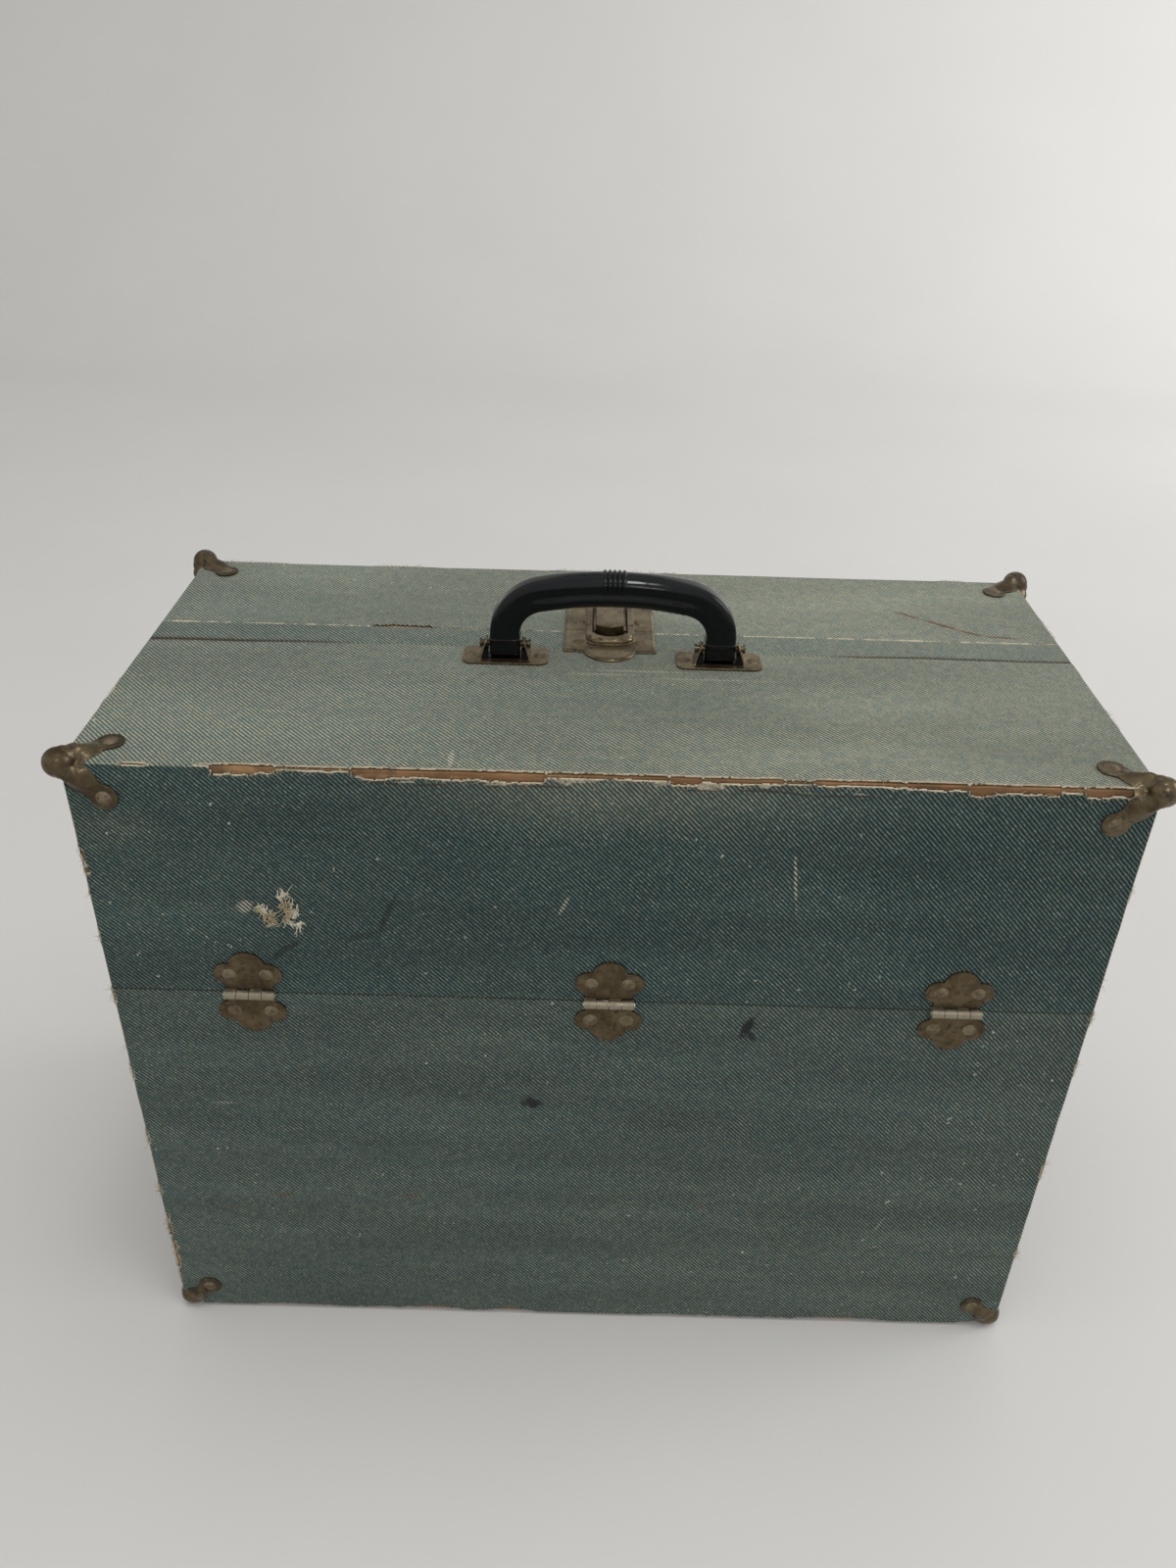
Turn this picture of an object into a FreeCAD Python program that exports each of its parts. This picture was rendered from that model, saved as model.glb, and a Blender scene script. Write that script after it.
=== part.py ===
import FreeCAD, Part
import math
import os

# Portable sewing box: a cloth-covered wooden case.  Its top splits into two L-shaped lids that
# hinge outwards on both long walls and carry cantilever trays.
# Frame, in millimetres: origin at the centre of the footprint on the floor, +X along the long
# side, -Y towards the near hinged wall, +Z up.  The case is shown closed.

# ---- case -----------------------------------------------------------------------------------
LENGTH = 457.2
DEPTH = 221.0
HEIGHT = 355.5
CLOTH = 1.0
WOOD = 7.0
WALL = CLOTH + WOOD
FLOOR_BOARD = 6.0
FOOT_GAP = 2.4                    # the case stands on its corner caps
CASE_TOP = FOOT_GAP + HEIGHT
HINGE_Z = FOOT_GAP + 233.0
SEAM_Y = 29.5                     # where the two lids meet on top
SEAM_GAP = 0.6
RAIL_DEPTH = 20.0
RAIL_HEIGHT = 14.0
CORNER_RADIUS = 6.0
CORNER_REACH = 12.5

HALF_X = LENGTH / 2
HALF_Y = DEPTH / 2
INNER_X = HALF_X - WALL
INNER_Y = HALF_Y - WALL
NEAR, FAR = -1, 1                 # the two hinged long sides
LEFT, RIGHT = -1, 1

# ---- hinges ---------------------------------------------------------------------------------
HINGE_XS = (-163.5, 3.0, 164.0)
HINGE_OUT = 2.3                   # hinge axis, out from the cloth face
HINGE_Y = HALF_Y + HINGE_OUT
LEAF = 1.0
BARREL_RADIUS = 2.25
BARREL_HALF = 11.8
KNUCKLE_GAP = 0.15
PIN_RADIUS = 1.2
LEAF_START = 2.5                  # leaf edge beside the other leaf's knuckle
LEAF_STRAP = 0.5                  # how far a knuckle's strap runs into its leaf
LEAF_BODY_HALF = 11.0
LEAF_RIVETS = (8.5, 11.0)
SIDE_LOBE = (9.8, 11.3, 6.0)      # a lobe's offset, distance from the axis and radius
MIDDLE_LOBE = (0.0, 15.4, 8.4)
PIN_PROUD = 0.3

# ---- rivets ---------------------------------------------------------------------------------
RIVET_HEAD = 3.3
RIVET_DOME = 1.0
SHANK = 1.2
FIT = 0.05                        # running or drilled clearance

# ---- corner caps ----------------------------------------------------------------------------
CAP_SHEET = 1.2
CAP_SHELL = 1.0
CAP_BALL_RADIUS = 11.6
CAP_BALL_INSET = 9.0
CAP_HEAD_RADIUS = 6.6             # round head standing on the tip of each top corner
CAP_HEAD_INSET = 0.3
CAP_FLUTE_INSETS = (1.5, 13.2)    # a flute runs out of the head along each leg
CAP_FLUTE_RADII = (5.2, 1.3)
CAP_FLUTE_DEPTHS = (0.6, -0.3)    # of its axis below the case's face, at the two insets
CAP_RIVET_INSET = 16.5
CAP_LEG_HALF = 5.6
CAP_TIP_RADIUS = 6.2

# ---- handle ---------------------------------------------------------------------------------
HANDLE_X = 0.6
HANDLE_HALF_SPAN = 51.8
HANDLE_Y = -2.5
HANDLE_PIVOT = 8.0                # pin height above the cloth
HANDLE_PLATE = (20.7, 9.2, 1.2)   # half length, half depth, thickness
PLATE_CORNER = 4.0
PLATE_RIVET_X = 17.2
FOOT_HALF = 7.6
FOOT_RADIUS = 5.0
EAR_TOP_HALF = 8.1                # ears lean out from here to EAR_BASE_HALF
EAR_BASE_HALF = 11.6
EAR_SHEET = 1.0
EAR_DEPTH = 5.0
EAR_HEIGHT = 11.6
EAR_SUNK = 0.4                    # the ear starts this far inside its plate
EAR_NECK = (3.4, 9.2)             # half depth of the ear's skirt at this height above the cloth
WEDGE_HALF_DEPTH = 4.4
WEDGE_GAP = 0.3
HANDLE_PIN = 1.6
HANDLE_PIN_HEAD = (2.3, 0.9)      # radius, length
GRIP_RISE = 28.8                  # grip centre above the pin, mid-span
SHOULDER_RISE = 6.0
SHOULDER_RADIUS = 20.0
GRIP_RADIUS = 8.6
LEG_HALF = 7.3
LEG_DEPTH_HALF = 6.4

# ---- latch ----------------------------------------------------------------------------------
LATCH_X = -0.5
LATCH_HALF = 22.8
LATCH_SHEET = 1.2
KEEPER_Y = 5.5
KEEPER_SCALLOP = 13.0
KEEPER_BULGE = 10.2
BASE_PLATE_Y = 72.0
COLLAR_HALF = 12.0
COLLAR_WALL = 3.2
COLLAR_Y = 13.1
COLLAR_HEIGHT = 3.0
COLLAR_BEND = 1.25                # the collar's end is an arc of this many half widths
NOTCH_HALF = 8.3
NOTCH_Y = 21.4
NOSE_HALF = 7.0
NOSE_Y = 22.5
NOSE_TOP = 6.6
NOSE_BEND = 1.8                   # the nose's end is an arc of this many half widths
HASP_LIFT = 1.7                   # underside of the hasp above the cloth
HASP_PIVOT_Y = 61.5
HASP_PIVOT = 4.7
HASP_BARREL = 2.9
HASP_PIN = 1.3
HASP_EAR_TOP = 8.0
SPRING_SHEET = 0.4
SPRING_DEPTH = 6.0
KEEPER_RIVET = (15.8, 15.5)
BASE_RIVETS = ((15.8, 38.5), (15.8, 66.0))

# ---- trays: (y', z') is measured inwards and upwards from the side's own hinge axis ----------
TRAY_SIDE = 4.0
TRAY_END = 5.0
TRAY_FLOOR = 3.0
DIVIDER = 3.0
DIVIDER_DROP = 6.0
HIGH_TRAY_Z = (53.0, 98.0)
LOW_TRAY_X = 214.4
HIGH_TRAY_X = 215.2
BRACKET_X = (215.2, 217.0)
ARM_X = (217.8, 219.6)
PIVOT_RADIUS = 2.0
PIVOT_HEAD = 3.2
PIVOT_HEAD_LENGTH = 0.8
PIVOT_ROOT_X = 224.6
SIDES = {
    NEAR: {"name": "near", "arm": (30.0, -10.0), "link": (40.0, 20.0), "arm_half": 6.0,
           "low_y": (17.0, 130.0), "low_z": (4.0, 49.0), "low_cells": 3,
           "high_y": (36.0, 130.0), "high_cells": 4},
    FAR: {"name": "far", "arm": (24.0, -9.0), "link": (26.0, 22.0), "arm_half": 4.2,
          "low_y": (18.5, 80.0), "low_z": (9.0, 49.0), "low_cells": 4,
          "high_y": (16.0, 80.0), "high_cells": 5},
}

Vec = FreeCAD.Vector
AXES = {"x": Vec(1, 0, 0), "y": Vec(0, 1, 0), "z": Vec(0, 0, 1)}


# ---- helpers --------------------------------------------------------------------------------
def block(xs, ys, zs):
    lows = [min(pair) for pair in (xs, ys, zs)]
    sizes = [abs(pair[1] - pair[0]) for pair in (xs, ys, zs)]
    return Part.makeBox(*sizes, Vec(*lows))


def rod(radius, start, direction, length):
    return Part.makeCylinder(radius, length, Vec(*start), Vec(*direction))


def rod_x(radius, xs, y, z):
    return rod(radius, (min(xs), y, z), (1, 0, 0), abs(xs[1] - xs[0]))


def prism(points, travel):
    """Closed outline of 3-D points, swept along a straight travel vector."""
    ring = [Vec(*point) for point in points]
    face = Part.Face(Part.makePolygon(ring + ring[:1]))
    return face.extrude(Vec(*travel))


def fuse(shapes):
    first, rest = shapes[0], shapes[1:]
    return first.fuse(rest).removeSplitter() if rest else first


def cut(shape, tools):
    return shape.cut(tools) if tools else shape


def rivet(point, direction, length):
    """Domed rivet: the head's flat face is at the point, the shank goes against direction."""
    sphere_radius = (RIVET_HEAD ** 2 + RIVET_DOME ** 2) / (2 * RIVET_DOME)
    sphere = Part.makeSphere(sphere_radius, Vec(0, 0, RIVET_DOME - sphere_radius))
    head = sphere.common(rod(RIVET_HEAD, (0, 0, 0), (0, 0, 1), RIVET_DOME + 1))
    body = head.fuse(rod(SHANK, (0, 0, -length), (0, 0, 1), length + RIVET_DOME / 2))
    body.Placement = FreeCAD.Placement(Vec(*point), FreeCAD.Rotation(AXES["z"], Vec(*direction)))
    return body


def rivet_hole(point, direction, length):
    """Drilled hole for a rivet, open at the head and as deep as the shank."""
    unit = Vec(*direction)
    start = Vec(*point) - unit * (length + FIT)
    return Part.makeCylinder(SHANK + FIT, length + 3, start, unit)


def rivets(places):
    return [rivet(*place) for place in places]


def rivet_holes(places):
    return [rivet_hole(*place) for place in places]


def side_y(side, inward):
    return side * (HINGE_Y - inward)


def side_z(up):
    return HINGE_Z + up


# ---- case corners ---------------------------------------------------------------------------
def to_corner(shape, signs):
    """Move a shape drawn at a corner with the case in the positive octant to a real corner."""
    flips = [name for sign, name in zip(signs, AXES) if sign > 0]
    if len(flips) % 2:
        shape = shape.mirror(Vec(0, 0, 0), AXES[flips.pop()])
    if flips:
        (still,) = set(AXES) - set(flips)
        shape = shape.copy()
        shape.rotate(Vec(0, 0, 0), AXES[still], 180)
    z = CASE_TOP if signs[2] > 0 else FOOT_GAP
    return shape.translated(Vec(signs[0] * HALF_X, signs[1] * HALF_Y, z))


def corner_edges(solid, low):
    """The three edges of a cube that meet at its lowest corner."""
    corner = Vec(low, low, low)
    return [edge for edge in solid.Edges
            if min(vertex.Point.distanceToPoint(corner) for vertex in edge.Vertexes) < 0.01]


def rounded_cube(low, high, radius):
    """A cube from low to high on each axis whose lowest corner and its edges are rounded."""
    cube = block((low, high), (low, high), (low, high))
    return cube.makeFillet(radius, corner_edges(cube, low))


def corner_waste():
    """What is planed off a case corner so that its cap can sit round it."""
    cube = block((-1, CORNER_REACH), (-1, CORNER_REACH), (-1, CORNER_REACH))
    return cube.cut(rounded_cube(0, CORNER_REACH + 1, CORNER_RADIUS))


def case_corners():
    places = [(x, y, z) for x in (-1, 1) for y in (-1, 1) for z in (-1, 1)]
    waste = corner_waste()
    return [to_corner(waste, place) for place in places]


CORNER_TOOLS = case_corners()


def cap_leg(normal):
    """One leg of a corner cap, lying on the face whose outward normal is -normal axis."""
    reach = CAP_RIVET_INSET
    half = CAP_LEG_HALF / math.sqrt(2)
    outline = [(half, -half), (-half, half), (reach - half, reach + half),
               (reach + half, reach - half)]
    clipped = [(max(u, 0), max(v, 0)) for u, v in outline]
    band = prism([(u, v, -CAP_SHEET) for u, v in clipped], (0, 0, CAP_SHEET))
    tip = rod(CAP_TIP_RADIUS, (reach, reach, -CAP_SHEET), (0, 0, 1), CAP_SHEET)
    return onto_face(band.fuse(tip), normal)


def onto_face(shape, normal):
    """Turn a shape drawn on the face at z = 0 of the positive octant onto one of its faces."""
    if normal == "x":
        shape.rotate(Vec(0, 0, 0), Vec(1, 1, 1), 120)
    if normal == "y":
        shape.rotate(Vec(0, 0, 0), Vec(1, 1, 1), 240)
    return shape


def cap_flute(normal):
    """Tapering ridge pressed along one leg, from the head almost to the rivet."""
    start, end = [Vec(inset, inset, depth) for inset, depth in zip(CAP_FLUTE_INSETS, CAP_FLUTE_DEPTHS)]
    way = end - start
    return onto_face(Part.makeCone(*CAP_FLUTE_RADII, way.Length, start, way), normal)


def corner_cap(headed):
    """Pressed cap drawn with the case in the positive octant: ball, shell and three legs.

    A top corner's cap also has a round head and a flute down each leg; a bottom corner's cap
    is worn flat where the case stands on it.
    """
    inset = CAP_BALL_INSET
    ball = Part.makeSphere(CAP_BALL_RADIUS, Vec(inset, inset, inset))
    shell = rounded_cube(-CAP_SHELL, CORNER_REACH, CORNER_RADIUS + CAP_SHELL)
    outer = fuse([ball, shell] + [cap_leg(normal) for normal in AXES])
    if headed:
        tip = CAP_HEAD_INSET
        head = Part.makeSphere(CAP_HEAD_RADIUS, Vec(tip, tip, tip), Vec(1, 1, 1))
        outer = fuse([outer, head] + [cap_flute(normal) for normal in AXES])
    case = block((0, 60), (0, 60), (0, 60)).cut(corner_waste())
    cap = outer.cut(case)
    if not headed:
        cap = cap.cut(block((-60, 60), (-60, 60), (-60, -FOOT_GAP)))
    holes = [rivet_hole(point, direction, 10) for point, direction in cap_rivet_places()]
    return cut(cap, holes)


def cap_rivet_places():
    near = CAP_RIVET_INSET
    return [((near, near, -CAP_SHEET), (0, 0, -1)), ((-CAP_SHEET, near, near), (-1, 0, 0)),
            ((near, -CAP_SHEET, near), (0, -1, 0))]


def cap_rivets_at(signs):
    """Rivet places of one corner cap, in the case's frame."""
    places = []
    base = (signs[0] * HALF_X, signs[1] * HALF_Y, CASE_TOP if signs[2] > 0 else FOOT_GAP)
    shank = CAP_SHEET + CLOTH + FLOOR_BOARD - 1.5
    for point, direction in cap_rivet_places():
        placed = tuple(base[i] - signs[i] * point[i] for i in range(3))
        turned = tuple(-signs[i] * direction[i] for i in range(3))
        places.append((placed, turned, shank))
    return places


def corner_caps(corners, headed):
    pattern = corner_cap(headed)
    return [to_corner(pattern, corner) for corner in corners]


BOTTOM_CORNERS = [(x, y, -1) for x in (-1, 1) for y in (-1, 1)]


def top_corners(side):
    return [(x, side, 1) for x in (-1, 1)]


# ---- butterfly hinges -----------------------------------------------------------------------
def leaf_outline(x, side, up):
    """Butterfly leaf: two side lobes with a rivet each and a round lobe between them."""
    outer_y = side_y(side, HINGE_OUT - LEAF)
    face = (outer_y, side * HALF_Y)

    def disc(offset, height, radius):
        start = (x + offset, min(face), side_z(up * height))
        return rod(radius, start, (0, 1, 0), LEAF)

    offset, height, radius = SIDE_LOBE
    zs = (side_z(up * LEAF_START), side_z(up * LEAF_RIVETS[1]))
    body = block((x - LEAF_BODY_HALF, x + LEAF_BODY_HALF), face, zs)
    side_lobes = [disc(sign * offset, height, radius) for sign in (LEFT, RIGHT)]
    return fuse([body, disc(*MIDDLE_LOBE)] + side_lobes)


def knuckle_spans(x, first):
    """Every second of the barrel's four equal knuckles."""
    pitch = BARREL_HALF / 2
    starts = [x - BARREL_HALF + pitch * index for index in range(first, 4, 2)]
    return [(start + KNUCKLE_GAP, start + pitch - KNUCKLE_GAP) for start in starts]


def hinge_leaf(x, side, up):
    """One leaf with its two knuckles; up is +1 on the lid and -1 on the base."""
    pieces = [leaf_outline(x, side, up)]
    outer_y = side_y(side, HINGE_OUT - LEAF)
    for span in knuckle_spans(x, 0 if up > 0 else 1):
        pieces.append(rod_x(BARREL_RADIUS, span, side * HINGE_Y, HINGE_Z))
        strap = (side_z(0), side_z(up * (LEAF_START + LEAF_STRAP)))
        pieces.append(block(span, (outer_y, side * (HALF_Y + FIT)), strap))
    bore = rod_x(PIN_RADIUS + FIT, (x - 2 * BARREL_HALF, x + 2 * BARREL_HALF), side * HINGE_Y, HINGE_Z)
    leaf = fuse(pieces).cut(bore)
    return cut(leaf, rivet_holes(leaf_rivet_places([x], side, up)))


def leaf_rivet_places(xs, side, up):
    rivet_x, rivet_z = LEAF_RIVETS
    y = side_y(side, HINGE_OUT - LEAF)
    return [((x + offset, y, side_z(up * rivet_z)), (0, side, 0), LEAF + WALL - 0.5)
            for x in xs for offset in (-rivet_x, rivet_x)]


def hinge_leaves(side, up):
    return [hinge_leaf(x, side, up) for x in HINGE_XS]


def hinge_pins(side):
    half = BARREL_HALF + PIN_PROUD
    return [rod_x(PIN_RADIUS, (x - half, x + half), side * HINGE_Y, HINGE_Z) for x in HINGE_XS]


# ---- base of the case -----------------------------------------------------------------------
BASE_Z = (FOOT_GAP, HINGE_Z - SEAM_GAP / 2)
LID_Z = (HINGE_Z + SEAM_GAP / 2, CASE_TOP)


def pivot_place(side, point):
    return side_y(side, point[0]), side_z(point[1])


def pivot_hole(side, end, point):
    """Hole in an end board for a pivot pin."""
    y, z = pivot_place(side, point)
    return rod_x(PIVOT_RADIUS, (end * (INNER_X - 1), end * PIVOT_ROOT_X), y, z)


def base_end(end):
    board = block((end * INNER_X, end * (HALF_X - CLOTH)), (-HALF_Y + CLOTH, HALF_Y - CLOTH), BASE_Z)
    holes = [pivot_hole(side, end, SIDES[side]["arm"]) for side in (NEAR, FAR)]
    return board.cut(CORNER_TOOLS + holes + rivet_holes(base_rivet_places()))


def base_long_wall(side):
    board = block((-INNER_X, INNER_X), (side * INNER_Y, side * (HALF_Y - CLOTH)), BASE_Z)
    return board.cut(CORNER_TOOLS + rivet_holes(base_rivet_places()))


def base_bottom():
    floor_z = (FOOT_GAP, FOOT_GAP + FLOOR_BOARD)
    board = block((-INNER_X, INNER_X), (-INNER_Y, INNER_Y), floor_z)
    return board.cut(rivet_holes(base_rivet_places()))


def base_cloth():
    outer = block((-HALF_X, HALF_X), (-HALF_Y, HALF_Y), BASE_Z)
    inner_x = HALF_X - CLOTH
    inner_y = HALF_Y - CLOTH
    inner = block((-inner_x, inner_x), (-inner_y, inner_y), (BASE_Z[0] - 1, BASE_Z[1] + 1))
    return outer.cut([inner] + CORNER_TOOLS + rivet_holes(base_rivet_places()))


def base_rivet_places():
    places = []
    for side in (NEAR, FAR):
        places += leaf_rivet_places(HINGE_XS, side, -1)
    for corner in BOTTOM_CORNERS:
        places += cap_rivets_at(corner)
    return places


def arm_pivot_pins():
    pins = []
    for side in (NEAR, FAR):
        y, z = pivot_place(side, SIDES[side]["arm"])
        for end in (LEFT, RIGHT):
            inner = ARM_X[0] - 0.1
            shank = rod_x(PIVOT_RADIUS, (end * inner, end * PIVOT_ROOT_X), y, z)
            head = rod_x(PIVOT_HEAD, (end * (inner - PIVOT_HEAD_LENGTH), end * inner), y, z)
            pins.append(shank.fuse(head))
    return pins


# ---- lids -----------------------------------------------------------------------------------
def lid_edge(side):
    return SEAM_Y + side * SEAM_GAP / 2


def lid_wall(side):
    board = block((-INNER_X, INNER_X), (side * INNER_Y, side * (HALF_Y - CLOTH)),
                  (LID_Z[0], CASE_TOP - CLOTH))
    return board.cut(CORNER_TOOLS + rivet_holes(lid_rivet_places(side)))


def lid_top(side):
    edge = lid_edge(side) - (RAIL_DEPTH if side == NEAR else 0)
    board = block((-INNER_X, INNER_X), (side * INNER_Y, edge), (CASE_TOP - WALL, CASE_TOP - CLOTH))
    return board.cut(rivet_holes(lid_rivet_places(side)))


def lid_cheek(side, end):
    board = block((end * INNER_X, end * (HALF_X - CLOTH)), (side * (HALF_Y - CLOTH), lid_edge(side)),
                  (LID_Z[0], CASE_TOP - CLOTH))
    link = SIDES[side]["link"]
    holes = [pivot_hole(side, end, (link[0] * n, link[1] * n)) for n in (1, 2)]
    return board.cut(CORNER_TOOLS + holes + rivet_holes(lid_rivet_places(side)))


def lid_cloth(side):
    edge = lid_edge(side)
    outer = block((-HALF_X, HALF_X), (side * HALF_Y, edge), LID_Z)
    inner_x = HALF_X - CLOTH
    inner = block((-inner_x, inner_x), (side * (HALF_Y - CLOTH), edge - side * 1),
                  (LID_Z[0] - 1, CASE_TOP - CLOTH))
    tools = [inner] + CORNER_TOOLS + rivet_holes(lid_rivet_places(side))
    return outer.cut(tools + ([latch_notch()] if side == NEAR else []))


def near_edge_rail():
    edge = lid_edge(NEAR)
    rail = block((-INNER_X, INNER_X), (edge - RAIL_DEPTH, edge),
                 (CASE_TOP - CLOTH - RAIL_HEIGHT, CASE_TOP - CLOTH))
    return rail.cut([latch_notch()] + rivet_holes(lid_rivet_places(NEAR)))


def lid_rivet_places(side):
    places = leaf_rivet_places(HINGE_XS, side, 1)
    for corner in top_corners(side):
        places += cap_rivets_at(corner)
    up = (0, 0, 1)
    plate_shank = LATCH_SHEET + WALL - 0.5
    if side == NEAR:
        plate_top = CASE_TOP + HANDLE_PLATE[2]
        for foot in handle_feet():
            for offset in (-PLATE_RIVET_X, PLATE_RIVET_X):
                places.append(((foot + offset, HANDLE_Y + 1, plate_top), up, plate_shank))
        plate_rivets = (KEEPER_RIVET,)
    else:
        plate_rivets = BASE_RIVETS
    for offset, y in plate_rivets:
        for sign in (-1, 1):
            point = (LATCH_X + sign * offset, y, CASE_TOP + LATCH_SHEET)
            places.append((point, up, plate_shank))
    return places


# ---- handle ---------------------------------------------------------------------------------
def handle_feet():
    return (HANDLE_X - HANDLE_HALF_SPAN, HANDLE_X + HANDLE_HALF_SPAN)


def pin_z():
    return CASE_TOP + HANDLE_PIVOT


def handle_ear(foot, out):
    """Leaning ear bent up from the handle plate, with its rounded top round the pin."""
    base_z = CASE_TOP + HANDLE_PLATE[2]
    top_z = CASE_TOP + EAR_HEIGHT
    inner = [(foot + out * EAR_BASE_HALF, base_z - EAR_SUNK), (foot + out * EAR_TOP_HALF, top_z)]
    outer = [(x + out * EAR_SHEET, z) for x, z in reversed(inner)]
    sheet = prism([(x, HANDLE_Y - EAR_DEPTH, z) for x, z in inner + outer], (0, 2 * EAR_DEPTH, 0))
    span = sorted((foot + out * (EAR_TOP_HALF - 2), foot + out * (EAR_BASE_HALF + 4)))
    crown = rod_x(EAR_HEIGHT - HANDLE_PIVOT, span, HANDLE_Y, pin_z())
    neck, neck_z = EAR_NECK
    skirt = prism([(span[0], HANDLE_Y - EAR_DEPTH, CASE_TOP),
                   (span[0], HANDLE_Y + EAR_DEPTH, CASE_TOP),
                   (span[0], HANDLE_Y + neck, CASE_TOP + neck_z),
                   (span[0], HANDLE_Y - neck, CASE_TOP + neck_z)], (span[1] - span[0], 0, 0))
    ear = sheet.common(fuse([crown, skirt]))
    return ear.cut(rod_x(HANDLE_PIN, span, HANDLE_Y, pin_z()))


def handle_plate(foot):
    half_x, half_y, sheet = HANDLE_PLATE
    plate = block((foot - half_x, foot + half_x), (HANDLE_Y + 1 - half_y, HANDLE_Y + 1 + half_y),
                  (CASE_TOP, CASE_TOP + sheet))
    uprights = [edge for edge in plate.Edges if abs(edge.tangentAt(edge.FirstParameter).z) > 0.9]
    plate = plate.makeFillet(PLATE_CORNER, uprights)
    plate = fuse([plate, handle_ear(foot, LEFT), handle_ear(foot, RIGHT)])
    return cut(plate, rivet_holes(lid_rivet_places(NEAR)))


def foot_spacers():
    """Moulded wedges that fill between the handle's feet and the leaning ears."""
    wedges = []
    base_z = CASE_TOP + HANDLE_PLATE[2]
    for foot in handle_feet():
        for out in (LEFT, RIGHT):
            inner_x = foot + out * (FOOT_HALF + WEDGE_GAP)
            lean = (EAR_BASE_HALF - EAR_TOP_HALF) / (EAR_HEIGHT - HANDLE_PLATE[2] + EAR_SUNK)
            base_x = foot + out * (EAR_BASE_HALF - EAR_SUNK * lean)
            rise = (abs(base_x - foot) - FOOT_HALF - WEDGE_GAP) / lean
            height = min(rise, HANDLE_PIVOT - HANDLE_PIN - 1.5)
            top_x = base_x - out * lean * height
            outline = [(inner_x, base_z), (base_x, base_z), (top_x, base_z + height),
                       (inner_x, base_z + height)]
            near_end = [(x, HANDLE_Y - WEDGE_HALF_DEPTH, z) for x, z in outline]
            wedges.append(prism(near_end, (0, 2 * WEDGE_HALF_DEPTH, 0)))
    return wedges


def handle_pins():
    pins = []
    for foot in handle_feet():
        half = EAR_BASE_HALF - WEDGE_GAP
        head_radius, head_length = HANDLE_PIN_HEAD
        pin = rod_x(HANDLE_PIN, (foot - half, foot + half), HANDLE_Y, pin_z())
        heads = [rod_x(head_radius, (foot + out * half, foot + out * (half + head_length)),
                       HANDLE_Y, pin_z()) for out in (LEFT, RIGHT)]
        pins.append(fuse([pin] + heads))
    return pins


def grip_stations():
    """Points of the handle's centre line with their direction, from the right leg to the middle.

    The line rises straight from the pin, turns in a shoulder arc and then follows one long arc
    that is level at mid-span and meets the shoulder smoothly."""
    shoulder_x = HANDLE_HALF_SPAN - SHOULDER_RADIUS
    drop = GRIP_RISE - SHOULDER_RISE
    long_radius = (shoulder_x ** 2 + drop ** 2 - SHOULDER_RADIUS ** 2) / (2 * (drop - SHOULDER_RADIUS))
    long_centre = GRIP_RISE - long_radius
    meet = math.atan2(SHOULDER_RISE - long_centre, shoulder_x)
    stations = [(HANDLE_HALF_SPAN, SHOULDER_RISE - 3.0, math.pi / 2)]
    for step in range(6):
        angle = meet * step / 5
        stations.append((shoulder_x + SHOULDER_RADIUS * math.cos(angle),
                         SHOULDER_RISE + SHOULDER_RADIUS * math.sin(angle), angle + math.pi / 2))
    for step in range(1, 4):
        angle = meet + (math.pi / 2 - meet) * step / 3
        stations.append((long_radius * math.cos(angle), long_centre + long_radius * math.sin(angle),
                         angle + math.pi / 2))
    return stations


def grip_section(x, rise, heading):
    """Ellipse across the centre line: fuller towards mid-span."""
    blend = max(0.0, min(1.0, 1 - abs(x) / HANDLE_HALF_SPAN)) ** 0.5
    across = LEG_HALF + (GRIP_RADIUS - LEG_HALF) * blend
    deep = LEG_DEPTH_HALF + (GRIP_RADIUS - LEG_DEPTH_HALF) * blend
    centre = Vec(HANDLE_X + x, HANDLE_Y, pin_z() + rise)
    outward = Vec(math.sin(heading), 0, -math.cos(heading))
    major, minor = (across, outward), (deep, AXES["y"])
    if deep > across:
        major, minor = minor, major
    ellipse = Part.Ellipse(centre + major[1] * major[0], centre + minor[1] * minor[0], centre)
    return Part.Wire(ellipse.toShape())


def handle_grip():
    right = grip_stations()
    left = [(-x, rise, -heading) for x, rise, heading in reversed(right[:-1])]
    sections = [grip_section(*station) for station in right + left]
    bow = Part.makeLoft(sections, True, False)
    feet = []
    for foot in handle_feet():
        xs = (foot - FOOT_HALF, foot + FOOT_HALF)
        ys = (HANDLE_Y - FOOT_RADIUS, HANDLE_Y + FOOT_RADIUS)
        feet.append(block(xs, ys, (pin_z(), pin_z() + SHOULDER_RISE)))
        feet.append(rod_x(FOOT_RADIUS, xs, HANDLE_Y, pin_z()))
    bores = [rod_x(HANDLE_PIN + FIT, (foot - 12, foot + 12), HANDLE_Y, pin_z())
             for foot in handle_feet()]
    return fuse([bow] + feet).cut(bores)


# ---- latch ----------------------------------------------------------------------------------
def latch_notch():
    """Notch in the near lid's edge that the hasp's nose drops into."""
    return block((LATCH_X - NOTCH_HALF, LATCH_X + NOTCH_HALF), (NOTCH_Y, SEAM_Y + 5),
                 (CASE_TOP - 40, CASE_TOP + 20))


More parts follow.
